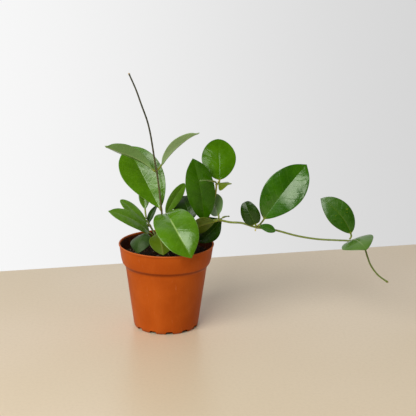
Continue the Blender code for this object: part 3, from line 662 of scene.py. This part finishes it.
def fine_leaf(name, spec, stem, look, mat, seed):
    rnd = random.Random(seed)
    path, radius = stem
    line, tang, normal, side, k0 = leaf_frames(spec, path, radius, FINE_STALK, FINE_BLADE)
    half = spec["w"] / 2
    length = np.linalg.norm(np.diff(line[k0:], axis=0), axis=1).sum()
    ph = [rnd.uniform(0, 6.28) for _ in range(6)]
    wave = look.get("wave", 0.35) * min(1.0, half / 16.0)
    ncol = len(INNER) + len(FROM_EDGE)
    theta = np.linspace(0.0, math.pi / 2, ncol)
    rings, at = [], {"lx": [], "lu": [], "ls": [], "lt": []}
    last = len(line) - 1
    for i, p in enumerate(line):
        if i < k0:
            s = 0.0
            w = wl = wr = PETIOLE_R
            ls = -1.0 + FINE_STALK[i]
        else:
            s = FINE_BLADE[i - k0]
            floor = PETIOLE_R * (1 - s) ** 2 + 0.12 * s
            q, ac = spec["q"], spec["ac"]
            w = max(half * fine_outline(s, spec["k"], q, ac), floor)
            wl = max(half * spec.get("wl", 1.0) * fine_outline(s, spec.get("kl", spec["k"]), spec.get("ql", q), ac), floor)
            wr = max(half * spec.get("wr", 1.0) * fine_outline(s, spec.get("kr", spec["k"]), spec.get("qr", q), ac), floor)
            ls = s
        ang = math.radians(spec["twist"]) * (s - 0.5)
        n = normal[i] * math.cos(ang) + side[i] * math.sin(ang)
        e = side[i] * math.cos(ang) - normal[i] * math.sin(ang)
        wide = min(1.0, max(0.0, (w - PETIOLE_R) / (0.35 * half)))
        wide = wide * wide * (3 - 2 * wide)
        thin = 1.0 if s < 0.8 else 1.0 - 0.55 * ((s - 0.8) / 0.2) ** 2
        half_t = PETIOLE_R * (1 + (look.get("thick", 0.5) - 1) * wide) * thin
        ring, tags = [], []
        for sign, wm in ((-1, wl), (1, wr)):
            # shares of the half-width from the midrib to the margin, in a flat blade and a round stalk
            edge = [1 - min(d, 0.5 * wm) / wm for d in FROM_EDGE]
            flat = np.array([min(x, edge[0] - 0.004 * (len(INNER) - j)) for j, x in enumerate(INNER)] + edge)
            flat = np.clip(np.maximum.accumulate(flat), 0, 1)
            share = wide * flat + (1 - wide) * np.sin(theta)
            d_edge = (1 - flat) * wm
            nose = np.sqrt(np.clip(1 - (1 - np.minimum(d_edge / 0.75, 1.0)) ** 2, 0, 1))
            h_flat = half_t * (1 - 0.32 * flat ** 2) * nose
            h = wide * h_flat + (1 - wide) * half_t * np.cos(theta)
            ring.append((sign, share, h, wm))
        pts_top, pts_low, tag_top, tag_low = [], [], [], []
        for sign, share, h, wm in ring:
            x = sign * share * wm
            ax = np.sqrt(x * x + 1.1) - 1.05
            lift = spec["fold"] * ax * wide - spec["roll"] * x * x / half * wide
            lift = lift + wave * wide * share ** 2 * (
                math.sin(2.1 * math.pi * s + ph[0] + (1.7 if sign > 0 else 0))
                + 0.5 * math.sin(5.3 * math.pi * s + ph[1] + (2.9 if sign > 0 else 0)))
            groove = 0.26 * wide * (1 - s) ** 0.6 * np.exp(-(x / 0.75) ** 2)
            keel = wide * (0.75 * (1 - s) ** 1.3 + 0.10) * np.exp(-(x / (1.35 - 0.6 * s)) ** 2)
            top = p + np.outer(x, e) + np.outer(lift + h - groove, n)
            low = p + np.outer(x, e) + np.outer(lift - h - keel * (share < 0.6), n)
            pts_top.append(top)
            pts_low.append(low)
            zero = np.zeros(len(x))
            tag_top.append((x, share * sign, zero + ls, np.clip(h / max(half_t, 1e-6) * 1.6, 0, 1)))
            tag_low.append((x, share * sign, zero + ls, -np.clip(h / max(half_t, 1e-6) * 1.6, 0, 1)))
        # left margin -> over the top -> right margin -> back underneath
        order = [(pts_top[0][::-1], tag_top[0], True), (pts_top[1][1:], tag_top[1], 1),
                 (pts_low[1][-2::-1], tag_low[1], -2), (pts_low[0][1:-1], tag_low[0], 2)]
        loop = np.concatenate([o[0] for o in order])
        rings.append(loop * MM)
        for key, c in (("lx", 0), ("lu", 1), ("ls", 2), ("lt", 3)):
            at[key].append(np.concatenate([tag_top[0][c][::-1], tag_top[1][c][1:],
                                           tag_low[1][c][-2::-1], tag_low[0][c][1:-1]]))
    verts, faces = loops_to_mesh(rings)
    tags = {k: np.concatenate(v + [[v[0][0]], [v[-1][0]]]) for k, v in at.items()}
    tags["ls"][-2], tags["ls"][-1] = -1.0, 1.0
    ob = mesh_object(name, verts, faces, mat, tags)
    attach(ob, "root")
    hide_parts(look["node"])
    return ob


# --------------------------------------------------------------------- stems
def fine_stem(name, node, spec, mat, seed):
    rnd = random.Random(seed)
    dense = dict(spec)
    dense["n"] = spec["n"] * 5
    path, _ = stem_line(dense)
    s = np.concatenate([[0], np.cumsum(np.linalg.norm(np.diff(path, axis=0), axis=1))])
    r = spec["r"][0] + (spec["r"][1] - spec["r"][0]) * s / s[-1]
    ring = np.zeros(len(path))
    for at in spec["nodes"]:
        d = np.linalg.norm(path - vec(at), axis=1)
        r = r * (1 + 0.30 * np.exp(-(d / 2.6) ** 2) + 0.10 * np.exp(-((d - 1.0) / 0.5) ** 2))
        ring = np.maximum(ring, np.exp(-(d / 1.6) ** 2))
    left = s[-1] - s
    r = r * (1 + (spec["knob"] - 1) * np.exp(-(left / 2.3) ** 2))
    r = r * (1 + 0.035 * np.sin(s * 0.9 + rnd.uniform(0, 6)) + 0.025 * np.sin(s * 2.3 + rnd.uniform(0, 6)))
    tip = np.clip(left / 0.9, 0, 1)
    r = r * np.sqrt(np.clip(1 - (1 - tip) ** 2, 0.02, 1))
    m = 20
    tang = np.gradient(path, axis=0)
    tang = np.array([unit(t) for t in tang])
    nrm = np.zeros_like(path)
    ref = np.array([0.3, -1.0, 0.1])
    nrm[0] = unit(ref - np.dot(ref, tang[0]) * tang[0])
    for i in range(1, len(path)):
        v = nrm[i - 1]
        nrm[i] = unit(v - np.dot(v, tang[i]) * tang[i])
    rings, ls, lu, lr = [], [], [], []
    for i, p in enumerate(path):
        b = np.cross(tang[i], nrm[i])
        a = 2 * np.pi * np.arange(m) / m
        flute = 1 + 0.045 * np.cos(3 * a + 0.05 * s[i]) + 0.02 * np.cos(5 * a + 1.0)
        rings.append((p + (np.outer(np.cos(a), nrm[i]) + np.outer(np.sin(a), b)) * (r[i] * flute)[:, None]) * MM)
        ls.append(np.full(m, s[i] / s[-1]))
        lu.append(np.cos(a))
        lr.append(np.full(m, max(ring[i], math.exp(-(left[i] / 1.2) ** 2))))
    verts, faces = loops_to_mesh(rings)
    tags = {"ls": np.concatenate(ls + [[0.0], [1.0]]), "lu": np.concatenate(lu + [[0.0], [0.0]]),
            "lr": np.concatenate(lr + [[0.0], [1.0]])}
    ob = mesh_object(name, verts, faces, mat, tags)
    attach(ob, "root")
    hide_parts(node)
    return ob


def bud(name, at, axis, length, r, mat):
    """A small pointed bud: overlapping scales on a spindle."""
    at, axis = vec(at), unit(axis)
    ref = np.array([0.2, 1.0, 0.3])
    u = unit(ref - np.dot(ref, axis) * axis)
    v = np.cross(axis, u)
    rings, ls, lu, lr = [], [], [], []
    m, k = 18, 22
    a = 2 * np.pi * np.arange(m) / m
    for i in range(k):
        t = i / (k - 1)
        body = math.sin(math.pi * (0.10 + 0.90 * t) ** 0.8) ** 0.8 if t < 1 else 0.0
        scale = 1 + 0.13 * np.cos(2 * a + 5.0 * t) + 0.05 * np.cos(3 * a)
        rr = max(r * body, 0.03) * scale
        p = at + axis * length * t
        rings.append((p + np.outer(np.cos(a) * rr, u) + np.outer(np.sin(a) * rr, v)) * MM)
        ls.append(np.full(m, t)); lu.append(np.cos(a)); lr.append(np.full(m, 0.0))
    verts, faces = loops_to_mesh(rings)
    tags = {"ls": np.concatenate(ls + [[0.0], [1.0]]), "lu": np.concatenate(lu + [[0.0], [0.0]]),
            "lr": np.concatenate(lr + [[0.0], [0.0]])}
    ob = mesh_object(name, verts, faces, mat, tags)
    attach(ob, "root")
    return ob


# ----------------------------------------------------------------------- pot
def rounded(profile, radii, n=5):
    """Profile with its corners rounded by short curves."""
    out = [profile[0]]
    for i in range(1, len(profile) - 1):
        a, b, c = map(vec, profile[i - 1:i + 2])
        rad = min(radii.get(i, 0.0), 0.45 * np.linalg.norm(a - b), 0.45 * np.linalg.norm(c - b))
        if rad < 0.02:
            out.append(tuple(b))
            continue
        p, q = b + unit(a - b) * rad, b + unit(c - b) * rad
        for t in np.linspace(0, 1, n):
            out.append(tuple((1 - t) ** 2 * p + 2 * t * (1 - t) * b + t * t * q))
    out.append(profile[-1])
    return out


def fine_pot(mat):
    # radius, height, rounding of the corner
    corners = [
        (0.0, POT_FLOOR, 0), (38.6, POT_FLOOR, 2.0), (49.4, POT_STEP_Z - 0.6, 1.2), (53.0, POT_COLLAR_Z + 0.8, 1.4),
        (55.2, 90.0, 0), (56.9, 101.5, 2.0), (58.1, POT_HEIGHT - 0.4, 0.4), (58.8, POT_HEIGHT, 0.5),
        (59.6, POT_HEIGHT - 0.1, 0.5), (60.0, POT_HEIGHT - 0.9, 0.7), (59.7, POT_HEIGHT - 2.0, 0.7),
        (58.9, POT_HEIGHT - 2.9, 0.6), (58.2, 99.5, 2.0), (56.9, 90.5, 0), (55.3, POT_COLLAR_Z + 1.0, 0.9),
        (54.5, POT_COLLAR_Z, 0.6), (51.3, POT_STEP_Z, 0.9), (POT_BASE_R + 0.6, 2.6, 1.2), (POT_BASE_R - 0.2, 0.5, 0.5),
        (POT_BASE_R - 1.4, 0.0, 0.5), (34.0, 0.0, 0.4), (33.2, 0.9, 0.4), (0.0, 0.9, 0)]
    prof = rounded([c[:2] for c in corners], {i: c[2] for i, c in enumerate(corners) if c[2]})
    steps = 192
    bm = bmesh.new()
    line = [bm.verts.new((x * MM, 0.0, z * MM)) for x, z in prof]
    edges = [bm.edges.new((a, b)) for a, b in zip(line, line[1:])]
    bmesh.ops.spin(bm, geom=line + edges, cent=(0, 0, 0), axis=(0, 0, 1), dvec=(0, 0, 0),
                   angle=2 * math.pi, steps=steps, use_duplicate=False)
    bmesh.ops.remove_doubles(bm, verts=bm.verts, dist=0.000004)
    bmesh.ops.recalc_face_normals(bm, faces=bm.faces)
    me = bpy.data.meshes.new("pot_body")
    bm.to_mesh(me)
    bm.free()
    me.materials.append(mat)
    pot = bpy.data.objects.new("pot_body", me)
    bpy.context.scene.collection.objects.link(pot)
    # drain notches with round shoulders
    bm = bmesh.new()
    for i in range(NOTCH_COUNT):
        a = math.radians(NOTCH_FIRST + i * 360.0 / NOTCH_COUNT)
        ca, sa = math.cos(a), math.sin(a)
        section = [(-NOTCH_W / 2, -1.0), (NOTCH_W / 2, -1.0), (NOTCH_W / 2, 1.6)]
        section += [(NOTCH_W / 2 - 2.0 + 2.0 * math.cos(t), 1.6 + 2.0 * math.sin(t)) for t in np.linspace(0.3, 1.57, 5)]
        section += [(-NOTCH_W / 2 + 2.0 - 2.0 * math.cos(t), 1.6 + 2.0 * math.sin(t)) for t in np.linspace(1.57, 0.3, 5)]
        section += [(-NOTCH_W / 2, 1.6)]
        near, far = [], []
        for y, z in section:
            for x, group in ((35.2, near), (44.0, far)):
                group.append(bm.verts.new(((x * ca - y * sa) * MM, (x * sa + y * ca) * MM, z * MM)))
        bm.faces.new(near)
        bm.faces.new(far[::-1])
        k = len(section)
        for j in range(k):
            bm.faces.new((near[j], far[j], far[(j + 1) % k], near[(j + 1) % k]))
    bmesh.ops.recalc_face_normals(bm, faces=bm.faces)
    cut_me = bpy.data.meshes.new("notch_tool")
    bm.to_mesh(cut_me)
    bm.free()
    tool = bpy.data.objects.new("notch_tool", cut_me)
    bpy.context.scene.collection.objects.link(tool)
    mod = pot.modifiers.new("notches", 'BOOLEAN')
    mod.operation, mod.solver, mod.object = 'DIFFERENCE', 'EXACT', tool
    deps = bpy.context.evaluated_depsgraph_get()
    done = bpy.data.meshes.new_from_object(pot.evaluated_get(deps))
    pot.modifiers.clear()
    pot.data = done
    bpy.data.objects.remove(tool)
    for p in pot.data.polygons:
        p.use_smooth = True
    pot.data.set_sharp_from_angle(angle=math.radians(38))
    # marks the wall's inner face: there the surface looks to the axis
    flags = []
    for v in pot.data.vertices:
        r, z = math.hypot(v.co.x, v.co.y) / MM, v.co.z / MM
        wall = np.interp(z, [0.0, 4.0, 68.0, 78.4, 84.0, 90.0, 101.5, 108.0],
                         [39.0, 39.8, 48.6, 50.4, 53.9, 56.1, 57.6, 58.8])
        flags.append(1.0 if r < wall else 0.0)
    at = pot.data.attributes.new("inside", 'FLOAT', 'POINT')
    at.data.foreach_set("value", np.array(flags, np.float32))
    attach(pot, "root")
    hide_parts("pot")
    return pot


# ---------------------------------------------------------------------- soil
def soil_z(x, y):
    """Uneven peat: the part's slow waves, with crumbs on top."""
    z = (SOIL_TOP + 0.9 * math.sin(x * 0.11 + 0.7) * math.cos(y * 0.13 - 0.4)
         + 0.6 * math.sin(x * 0.23 - y * 0.19))
    p = Vector((x * 0.16, y * 0.16, 1.7))
    z += 1.1 * noise.noise(p) + 0.8 * noise.noise(p * 2.6) + 0.45 * noise.noise(p * 6.1)
    d = noise.voronoi(Vector((x * 0.36, y * 0.36, 0.4)))[0]
    z += 0.75 * (0.55 - d[0])
    return z


def fine_soil(mat):
    rings, m = [], 220
    radii = list(np.linspace(0.9, 54.2, 64))
    a = 2 * np.pi * np.arange(m) / m
    for r in radii:
        fade = min(1.0, max(0.0, (55.2 - r) / 3.0))
        zs = [SOIL_TOP - 1.3 + (soil_z(r * math.cos(t), r * math.sin(t)) - SOIL_TOP + 1.3) * fade for t in a]
        rings.append(np.stack([r * np.cos(a), r * np.sin(a), zs], 1) * MM)
    for r, z in ((54.6, 92.3), (54.2, 88.5), (49.6, POT_STEP_Z + 1.0), (48.4, POT_STEP_Z - 1.6), (46.9, 68.0), (38.0, 2.5), (1.0, 2.5)):
        rings.append(np.stack([r * np.cos(a), r * np.sin(a), np.full(m, z)], 1) * MM)
    verts, faces = loops_to_mesh(rings)
    ob = mesh_object("soil_bed", verts, faces, mat)
    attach(ob, "root")
    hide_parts("soil")
    return ob


def crumbs(name, mat, count, lo, hi, seed, flat=0.7, long=1.0):
    """Loose crumbs of peat and bark lying on the soil, as one object."""
    rnd = random.Random(seed)
    base = bmesh.new()
    bmesh.ops.create_icosphere(base, subdivisions=2, radius=1.0)
    bv = [v.co.copy() for v in base.verts]
    bf = [[v.index for v in f.verts] for f in base.faces]
    base.free()
    verts, faces = [], []
    feet = [(spec["pts"][0][0], spec["pts"][0][1]) for spec in STEMS.values()]
    placed = 0
    while placed < count:
        r, t = 53.0 * math.sqrt(rnd.random()), rnd.uniform(0, 2 * math.pi)
        x, y = r * math.cos(t), r * math.sin(t)
        size = lo + (hi - lo) * rnd.random() ** 2.2
        if r + size > 54.0 or any(math.hypot(x - fx, y - fy) < 2.6 + size for fx, fy in feet):
            continue
        placed += 1
        z = soil_z(x, y) + size * 0.18
        turn = Matrix.Rotation(rnd.uniform(0, 6.28), 3, 'Z') @ Matrix.Rotation(rnd.uniform(-0.5, 0.5), 3, 'X')
        stretch = Vector((size * long * rnd.uniform(0.8, 1.5), size * rnd.uniform(0.7, 1.1), size * flat * rnd.uniform(0.6, 1.0)))
        off = Vector((rnd.uniform(0, 50), rnd.uniform(0, 50), 0))
        start = len(verts)
        for v in bv:
            k = 1 + 0.55 * noise.noise(v * 1.3 + off) + 0.22 * noise.noise(v * 3.1 + off)
            p = turn @ Vector((v.x * stretch.x, v.y * stretch.y, v.z * stretch.z)) * k
            verts.append(((p.x + x) * MM, (p.y + y) * MM, (p.z + z) * MM))
        faces.extend([[start + i for i in f] for f in bf])
    ob = mesh_object(name, verts, faces, mat)
    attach(ob, "root")
    return ob


def fibres(name, mat, count, seed, spots=()):
    """Thin pale root and peat fibres on the soil."""
    rnd = random.Random(seed)
    verts, faces = [], []
    m = 6
    feet = [(spec["pts"][0][0], spec["pts"][0][1]) for spec in STEMS.values()]
    todo = list(spots)
    while len(todo) < count:
        r, t = 49.0 * math.sqrt(rnd.random()), rnd.uniform(0, 2 * math.pi)
        todo.append((r * math.cos(t), r * math.sin(t), rnd.uniform(4, 11), rnd.uniform(0, 6.28), 0.16, 0.3))
    for x, y, length, heading, rad, rise in todo:
        k = 14
        pts = []
        bend = rnd.uniform(-0.22, 0.22)
        px, py, h = x, y, heading
        ok = True
        for i in range(k):
            px += math.cos(h) * length / k
            py += math.sin(h) * length / k
            h += bend + 0.18 * math.sin(i * 1.3 + x)
            if math.hypot(px, py) > 52.5 or any(math.hypot(px - fx, py - fy) < 2.6 for fx, fy in feet):
                ok = False
                break
            lift = rise * math.sin(math.pi * i / (k - 1)) * 2.2
            pts.append(np.array([px, py, soil_z(px, py) + rad * 0.6 + lift]))
        if not ok or len(pts) < 4:
            continue
        pts = np.array(pts)
        tang = np.gradient(pts, axis=0)
        ring_list = []
        for i, p in enumerate(pts):
            tg = unit(tang[i])
            u = unit(np.cross(tg, (0, 0, 1.0)))
            v = np.cross(u, tg)
            rr = rad * (1 - 0.6 * i / (len(pts) - 1))
            a = 2 * np.pi * np.arange(m) / m
            ring_list.append((p + np.outer(np.cos(a), u) * rr + np.outer(np.sin(a), v) * rr) * MM)
        vv, ff = loops_to_mesh(ring_list)
        start = len(verts)
        verts.extend(vv.tolist())
        faces.extend([[start + i for i in f] for f in ff])
    ob = mesh_object(name, verts, faces, mat)
    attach(ob, "root")
    return ob


# --------------------------------------------------------------- looks table
# greens of each kind, mostly as they look in even white light; the light and deep kinds also carry painted light, as
# marked below
GREENS = {
    "fresh": dict(top=srgb(70, 114, 0), top2=srgb(82, 130, 1), under=srgb(104, 134, 66), rib=srgb(160, 190, 104), mottle=0.08, gloss=0.24, coat=0.12, shine=0.75),
    "round": dict(top=srgb(60, 104, 0), top2=srgb(74, 120, 2), under=srgb(80, 116, 40), rib=srgb(92, 128, 24), mottle=0.08, gloss=0.20, coat=0.0, shine=0.3),
    "mid": dict(top=srgb(40, 86, 0), top2=srgb(52, 102, 1), under=srgb(90, 120, 58), rib=srgb(120, 154, 66), mottle=0.10, gloss=0.20, coat=0.0, shine=0.8),
    "tall": dict(top=srgb(40, 80, 0), top2=srgb(52, 96, 0), under=srgb(90, 120, 58), rib=srgb(100, 134, 40), mottle=0.10, gloss=0.24, coat=0.0, shine=0.3),
    # light: the leaf's green, brightened as a painted sheen for leaves that face up
    "light": dict(top=srgb(76, 116, 18), top2=srgb(90, 132, 28), under=srgb(100, 132, 66), rib=srgb(140, 166, 90), mottle=0.08, gloss=0.28, coat=0.4),
    # deep: the leaf's own dark green, darkened further as painted shade for leaves that sit in shade
    "deep": dict(top=srgb(26, 54, 1), top2=srgb(38, 70, 3), under=srgb(68, 96, 50), rib=srgb(84, 112, 44), mottle=0.12, gloss=0.22, coat=0.12, shine=0.3),
    "dusk": dict(top=srgb(34, 58, 14), top2=srgb(50, 76, 26), under=srgb(72, 98, 54), rib=srgb(90, 116, 60), mottle=0.10, gloss=0.42, coat=0.0, shine=0.3),
    "end": dict(top=srgb(36, 78, 0), top2=srgb(50, 94, 1), under=srgb(90, 120, 58), rib=srgb(140, 150, 10), mottle=0.6, gloss=0.30, coat=0.3),
    "grey": dict(top=srgb(66, 104, 26), top2=srgb(80, 118, 36), under=srgb(106, 142, 76), rib=srgb(138, 158, 96), mottle=0.08, gloss=0.32, coat=0.3),
    "pale": dict(top=srgb(86, 122, 40), top2=srgb(100, 138, 54), under=srgb(134, 160, 108), rib=srgb(150, 172, 118), mottle=0.06, gloss=0.34, coat=0.3),
    "olive": dict(top=srgb(90, 110, 2), top2=srgb(102, 122, 6), under=srgb(86, 112, 4), rib=srgb(128, 130, 50), mottle=0.10, gloss=0.32, coat=0.2),
}
LOOKS = {
    "leaf_back_left": "fresh", "leaf_upper_left": "grey", "leaf_upper_right": "pale", "leaf_small_left": "light",
    "leaf_low_left": "light", "leaf_low_left_back": "light", "leaf_dark_narrow": "deep", "leaf_pot_left": "dusk",
    "leaf_pot_front": "olive", "leaf_front": "fresh", "leaf_mid": "light", "leaf_mid_dark": "deep",
    "leaf_right_tall": "tall", "leaf_right_round": "round", "leaf_right_olive": "olive", "leaf_right_sliver": "pale",
    "leaf_runner_back": "grey", "leaf_runner_olive": "olive", "leaf_runner_small": "olive", "leaf_runner_dark": "deep",
    "leaf_runner_rounded": "deep", "leaf_runner_low": "mid", "leaf_runner_large": "mid", "leaf_end_tall": "end",
    "leaf_end_heart": "grey",
}
# how strongly the pale midrib shows; on leaf_front it is partly a painted sheen line
RIBS = {"leaf_front": 0.85, "leaf_end_heart": 0.6, "leaf_small_left": 0.5, "leaf_runner_dark": 0.4,
        "leaf_end_tall": 0.1, "leaf_right_tall": 0.12, "leaf_right_round": 0.03, "leaf_back_left": 0.14,
        "leaf_runner_large": 0.12, "leaf_pot_front": 0.1}


WAXED = {"leaf_runner_large": dict(waxed=(0.30, 0.52, 0.99, 1.08), waxed_slope=0.10),
         "leaf_back_left": dict(waxed=(-0.1, 0.0, 0.58, 0.80))}


def build_plant():
    stems = {name: stem_line(spec) for name, spec in STEMS.items()}
    skins = {
        "stem_upright": stem_material("stem_upright_skin", srgb(92, 84, 36), srgb(52, 56, 34), srgb(60, 54, 28), 1),
        "stem_right": stem_material("stem_right_skin", srgb(116, 128, 28), srgb(164, 158, 60), srgb(126, 134, 40), 2),
        "stem_left": stem_material("stem_left_skin", srgb(92, 96, 40), srgb(98, 116, 44), srgb(84, 88, 40), 3),
        "stem_runner": stem_material("stem_runner_skin", srgb(120, 134, 34), srgb(104, 122, 36), srgb(86, 100, 26), 4),
    }
    for i, (name, spec) in enumerate(STEMS.items()):
        fine_stem(name.replace("stem_", "shoot_"), name, spec, skins[name], 11 + i)
    for i, (name, spec) in enumerate(LEAVES.items()):
        kind = LOOKS[name]
        # leaf_front's wide midrib streak, kept to the middle of the blade, is partly a painted sheen line
        mat = leaf_material(name.replace("leaf_", "wax_"), seed=i + 1, ribbed=RIBS.get(name, 0.22),
                            streak=(0.34, 0.98) if name == "leaf_front" else (0.0, 1.0),
                            rib_w=0.9 if name == "leaf_front" else 0.5, **WAXED.get(name, {}), **GREENS[kind])
        fine_leaf(name.replace("leaf_", "blade_"), spec, stems[spec["stem"]], dict(node=name), mat, 101 + i)
    pale = stem_material("bud_skin", srgb(176, 170, 96), srgb(196, 186, 120), srgb(150, 146, 84), 8)
    bud("bud_right", (63.6, 2.6, 186.5), (0.5, -0.75, 0.75), 4.2, 1.1, pale)
    yellow = stem_material("bud_runner_skin", srgb(186, 168, 66), srgb(204, 190, 92), srgb(160, 144, 58), 9)
    bud("bud_runner", (111.5, -4.2, 128.6), (-0.2, -0.6, -0.9), 3.2, 0.9, yellow)
    tan = stem_material("tip_skin", srgb(170, 146, 104), srgb(190, 168, 124), srgb(150, 124, 84), 10)
    # withered growing points at the two free ends
    for name, stem in (("tip_upright", "stem_upright"), ("tip_runner", "stem_runner")):
        line = stems[stem][0]
        bud(name, tuple(line[-1] - unit(line[-1] - line[-2]) * 1.6), tuple(unit(line[-1] - line[-2])), 1.9, 1.25, tan)


def build_pot():
    fine_pot(pot_material())
    fine_soil(soil_material("peat_bed", srgb(34, 24, 18), srgb(58, 42, 31), 1))
    crumbs("soil_crumbs", soil_material("peat_crumbs", srgb(44, 30, 22), srgb(76, 54, 38), 2), 420, 0.5, 2.3, 5)
    crumbs("soil_bark", soil_material("peat_bark", srgb(70, 46, 30), srgb(104, 74, 48), 3), 60, 0.8, 2.6, 9, 0.45, 1.6)
    n = Nodes("fibre_skin", srgb(190, 178, 156))
    tone = n.noise(500, 2.0, 0.5)
    fibre = n.finish(n.mix(tone, srgb(168, 150, 122), srgb(222, 212, 192)), n.ramp(tone, 0.3, 0.7, 0.6, 0.8), n.bump(tone, 0.3, 0.0002))
    fibres("soil_fibres", fibre, 34, 21, [(-46, -8, 9, 0.5, 0.35, 0.5), (-44, -14, 8, 1.6, 0.3, 0.6), (-40, -4, 7, 2.6, 0.25, 0.4)])


# ------------------------------------------------- stage, lights and camera
def table_material():
    n = Nodes("table_top", srgb(221, 201, 169))
    broad = n.noise(2.2, 2.0, 0.5)
    fine = n.noise(260, 3.0, 0.6)
    colour = n.mix(n.ramp(broad, 0.35, 0.65), srgb(239, 220, 192), srgb(233, 213, 181))
    colour = n.mix(n.ramp(fine, 0.4, 0.7, 0.0, 0.2), colour, srgb(218, 198, 168))
    return n.finish(colour, n.ramp(fine, 0.3, 0.7, 0.33, 0.38), n.bump(fine, 0.04, 0.0003), Specular_IOR_Level=0.5)


def build_stage():
    # a plain table top; its far edge runs a little aslant
    far_l, far_r = vec((-250.2, 202.9, 0)), vec((385.5, 369.3, 0))
    d = unit(far_r - far_l)
    mid = (far_l + far_r) / 2
    inward = np.array([d[1], -d[0], 0])
    corners = [mid - d * 1500, mid + d * 1500, mid + d * 1500 + inward * 2400, mid - d * 1500 + inward * 2400]
    bm = bmesh.new()
    top = [bm.verts.new((c[0] * MM, c[1] * MM, -0.0001)) for c in corners]
    low = [bm.verts.new((c[0] * MM, c[1] * MM, -0.030)) for c in corners]
    bm.faces.new(top)
    bm.faces.new(low[::-1])
    for i in range(4):
        bm.faces.new((top[i], low[i], low[(i + 1) % 4], top[(i + 1) % 4]))
    bmesh.ops.recalc_face_normals(bm, faces=bm.faces)
    bmesh.ops.bevel(bm, geom=list(bm.edges), offset=0.002, segments=3, profile=0.6, affect='EDGES')
    me = bpy.data.meshes.new("table_top")
    bm.to_mesh(me)
    bm.free()
    me.materials.append(table_material())
    ob = bpy.data.objects.new("table_top", me)
    bpy.context.scene.collection.objects.link(ob)


def area_light(name, at, target, size, size_y, power, colour=(1, 1, 1)):
    li = bpy.data.lights.new(name, 'AREA')
    li.shape = 'RECTANGLE'
    li.size, li.size_y = size, size_y
    li.energy = power
    li.color = colour
    ob = bpy.data.objects.new(name, li)
    bpy.context.scene.collection.objects.link(ob)
    ob.location = at
    ob.rotation_euler = (Vector(target) - Vector(at)).to_track_quat('-Z', 'Y').to_euler()
    return ob


AMBIENT = 0.29         # even light from the room
DIM_FRONT = 0.02       # what the glossy surfaces see of the dim room in front
KEY_POWER = 51.0       # window, watts


def build_lights():
    world = bpy.data.worlds.new("studio")
    bpy.context.scene.world = world
    world.use_nodes = True
    tree = world.node_tree

    def new(kind, **props):
        node = tree.nodes.new(kind)
        for k, v in props.items():
            setattr(node, k, v)
        return node

    def span(socket, lo, hi, a, b):
        node = new("ShaderNodeMapRange", interpolation_type='SMOOTHSTEP')
        tree.links.new(socket, node.inputs["Value"])
        for key, value in (("From Min", lo), ("From Max", hi), ("To Min", a), ("To Max", b)):
            node.inputs[key].default_value = value
        return node.outputs["Result"]

    def both(op, a, b):
        node = new("ShaderNodeMath", operation=op)
        for k, v in enumerate((a, b)):
            if isinstance(v, bpy.types.NodeSocket):
                tree.links.new(v, node.inputs[k])
            else:
                node.inputs[k].default_value = v
        return node.outputs[0]

    coords = new("ShaderNodeTexCoord")
    split = new("ShaderNodeSeparateXYZ")
    tree.links.new(coords.outputs["Generated"], split.inputs["Vector"])
    x, y, z = (split.outputs[k] for k in "XYZ")
    # the wall as it is seen: a little darker to the right, a painted falloff of the light
    wall = new("ShaderNodeMix", data_type='RGBA')
    tree.links.new(span(x, -0.26, 0.26, 0.0, 1.0), wall.inputs["Factor"])
    wall.inputs["A"].default_value = srgb(249, 249, 249)
    wall.inputs["B"].default_value = srgb(212, 212, 212)
    seen = new("ShaderNodeBackground")
    tree.links.new(wall.outputs["Result"], seen.inputs["Color"])
    # the room as light: pale wall behind, dim in front
    room = both('ADD', span(y, -0.15, 0.55, DIM_FRONT, 0.80), both('MULTIPLY', span(z, 0.35, 0.95, 0.0, 0.16), span(y, -0.6, 0.3, 0.12, 1.0)))
    shiny = new("ShaderNodeBackground")
    tree.links.new(room, shiny.inputs["Strength"])
    shiny.inputs["Color"].default_value = (1, 1, 1, 1)
    even = new("ShaderNodeBackground")
    even.inputs["Color"].default_value = (1, 0.99, 0.97, 1)
    even.inputs["Strength"].default_value = AMBIENT
    path = new("ShaderNodeLightPath")
    pick = new("ShaderNodeMixShader")
    tree.links.new(path.outputs["Is Diffuse Ray"], pick.inputs["Fac"])
    tree.links.new(shiny.outputs["Background"], pick.inputs[1])
    tree.links.new(even.outputs["Background"], pick.inputs[2])
    last = new("ShaderNodeMixShader")
    tree.links.new(path.outputs["Is Camera Ray"], last.inputs["Fac"])
    tree.links.new(pick.outputs["Shader"], last.inputs[1])
    tree.links.new(seen.outputs["Background"], last.inputs[2])
    tree.links.new(last.outputs["Shader"], tree.nodes["World Output"].inputs["Surface"])
    target = (0.05, 0.0, 0.13)
    area_light("window", (-0.98, -1.66, 1.42), target, 1.9, 1.45, KEY_POWER)
    return world


def build_camera():
    cam = bpy.data.cameras.new("camera")
    cam.sensor_width = 36.0
    cam.lens = 1120.0 / 416.0 * 36.0
    cam.clip_start, cam.clip_end = 0.05, 30.0
    ob = bpy.data.objects.new("camera", cam)
    bpy.context.scene.collection.objects.link(ob)
    ob.matrix_world = (Matrix.Translation((0.0517, -1.3491, 0.5153))
                       @ Matrix.Rotation(math.radians(75.0), 4, 'X')
                       @ Matrix.Rotation(math.radians(0.8), 4, 'Z'))
    bpy.context.scene.camera = ob


bpy.context.scene.view_settings.view_transform = 'Standard'
build_plant()
build_pot()
build_stage()
build_lights()
build_camera()
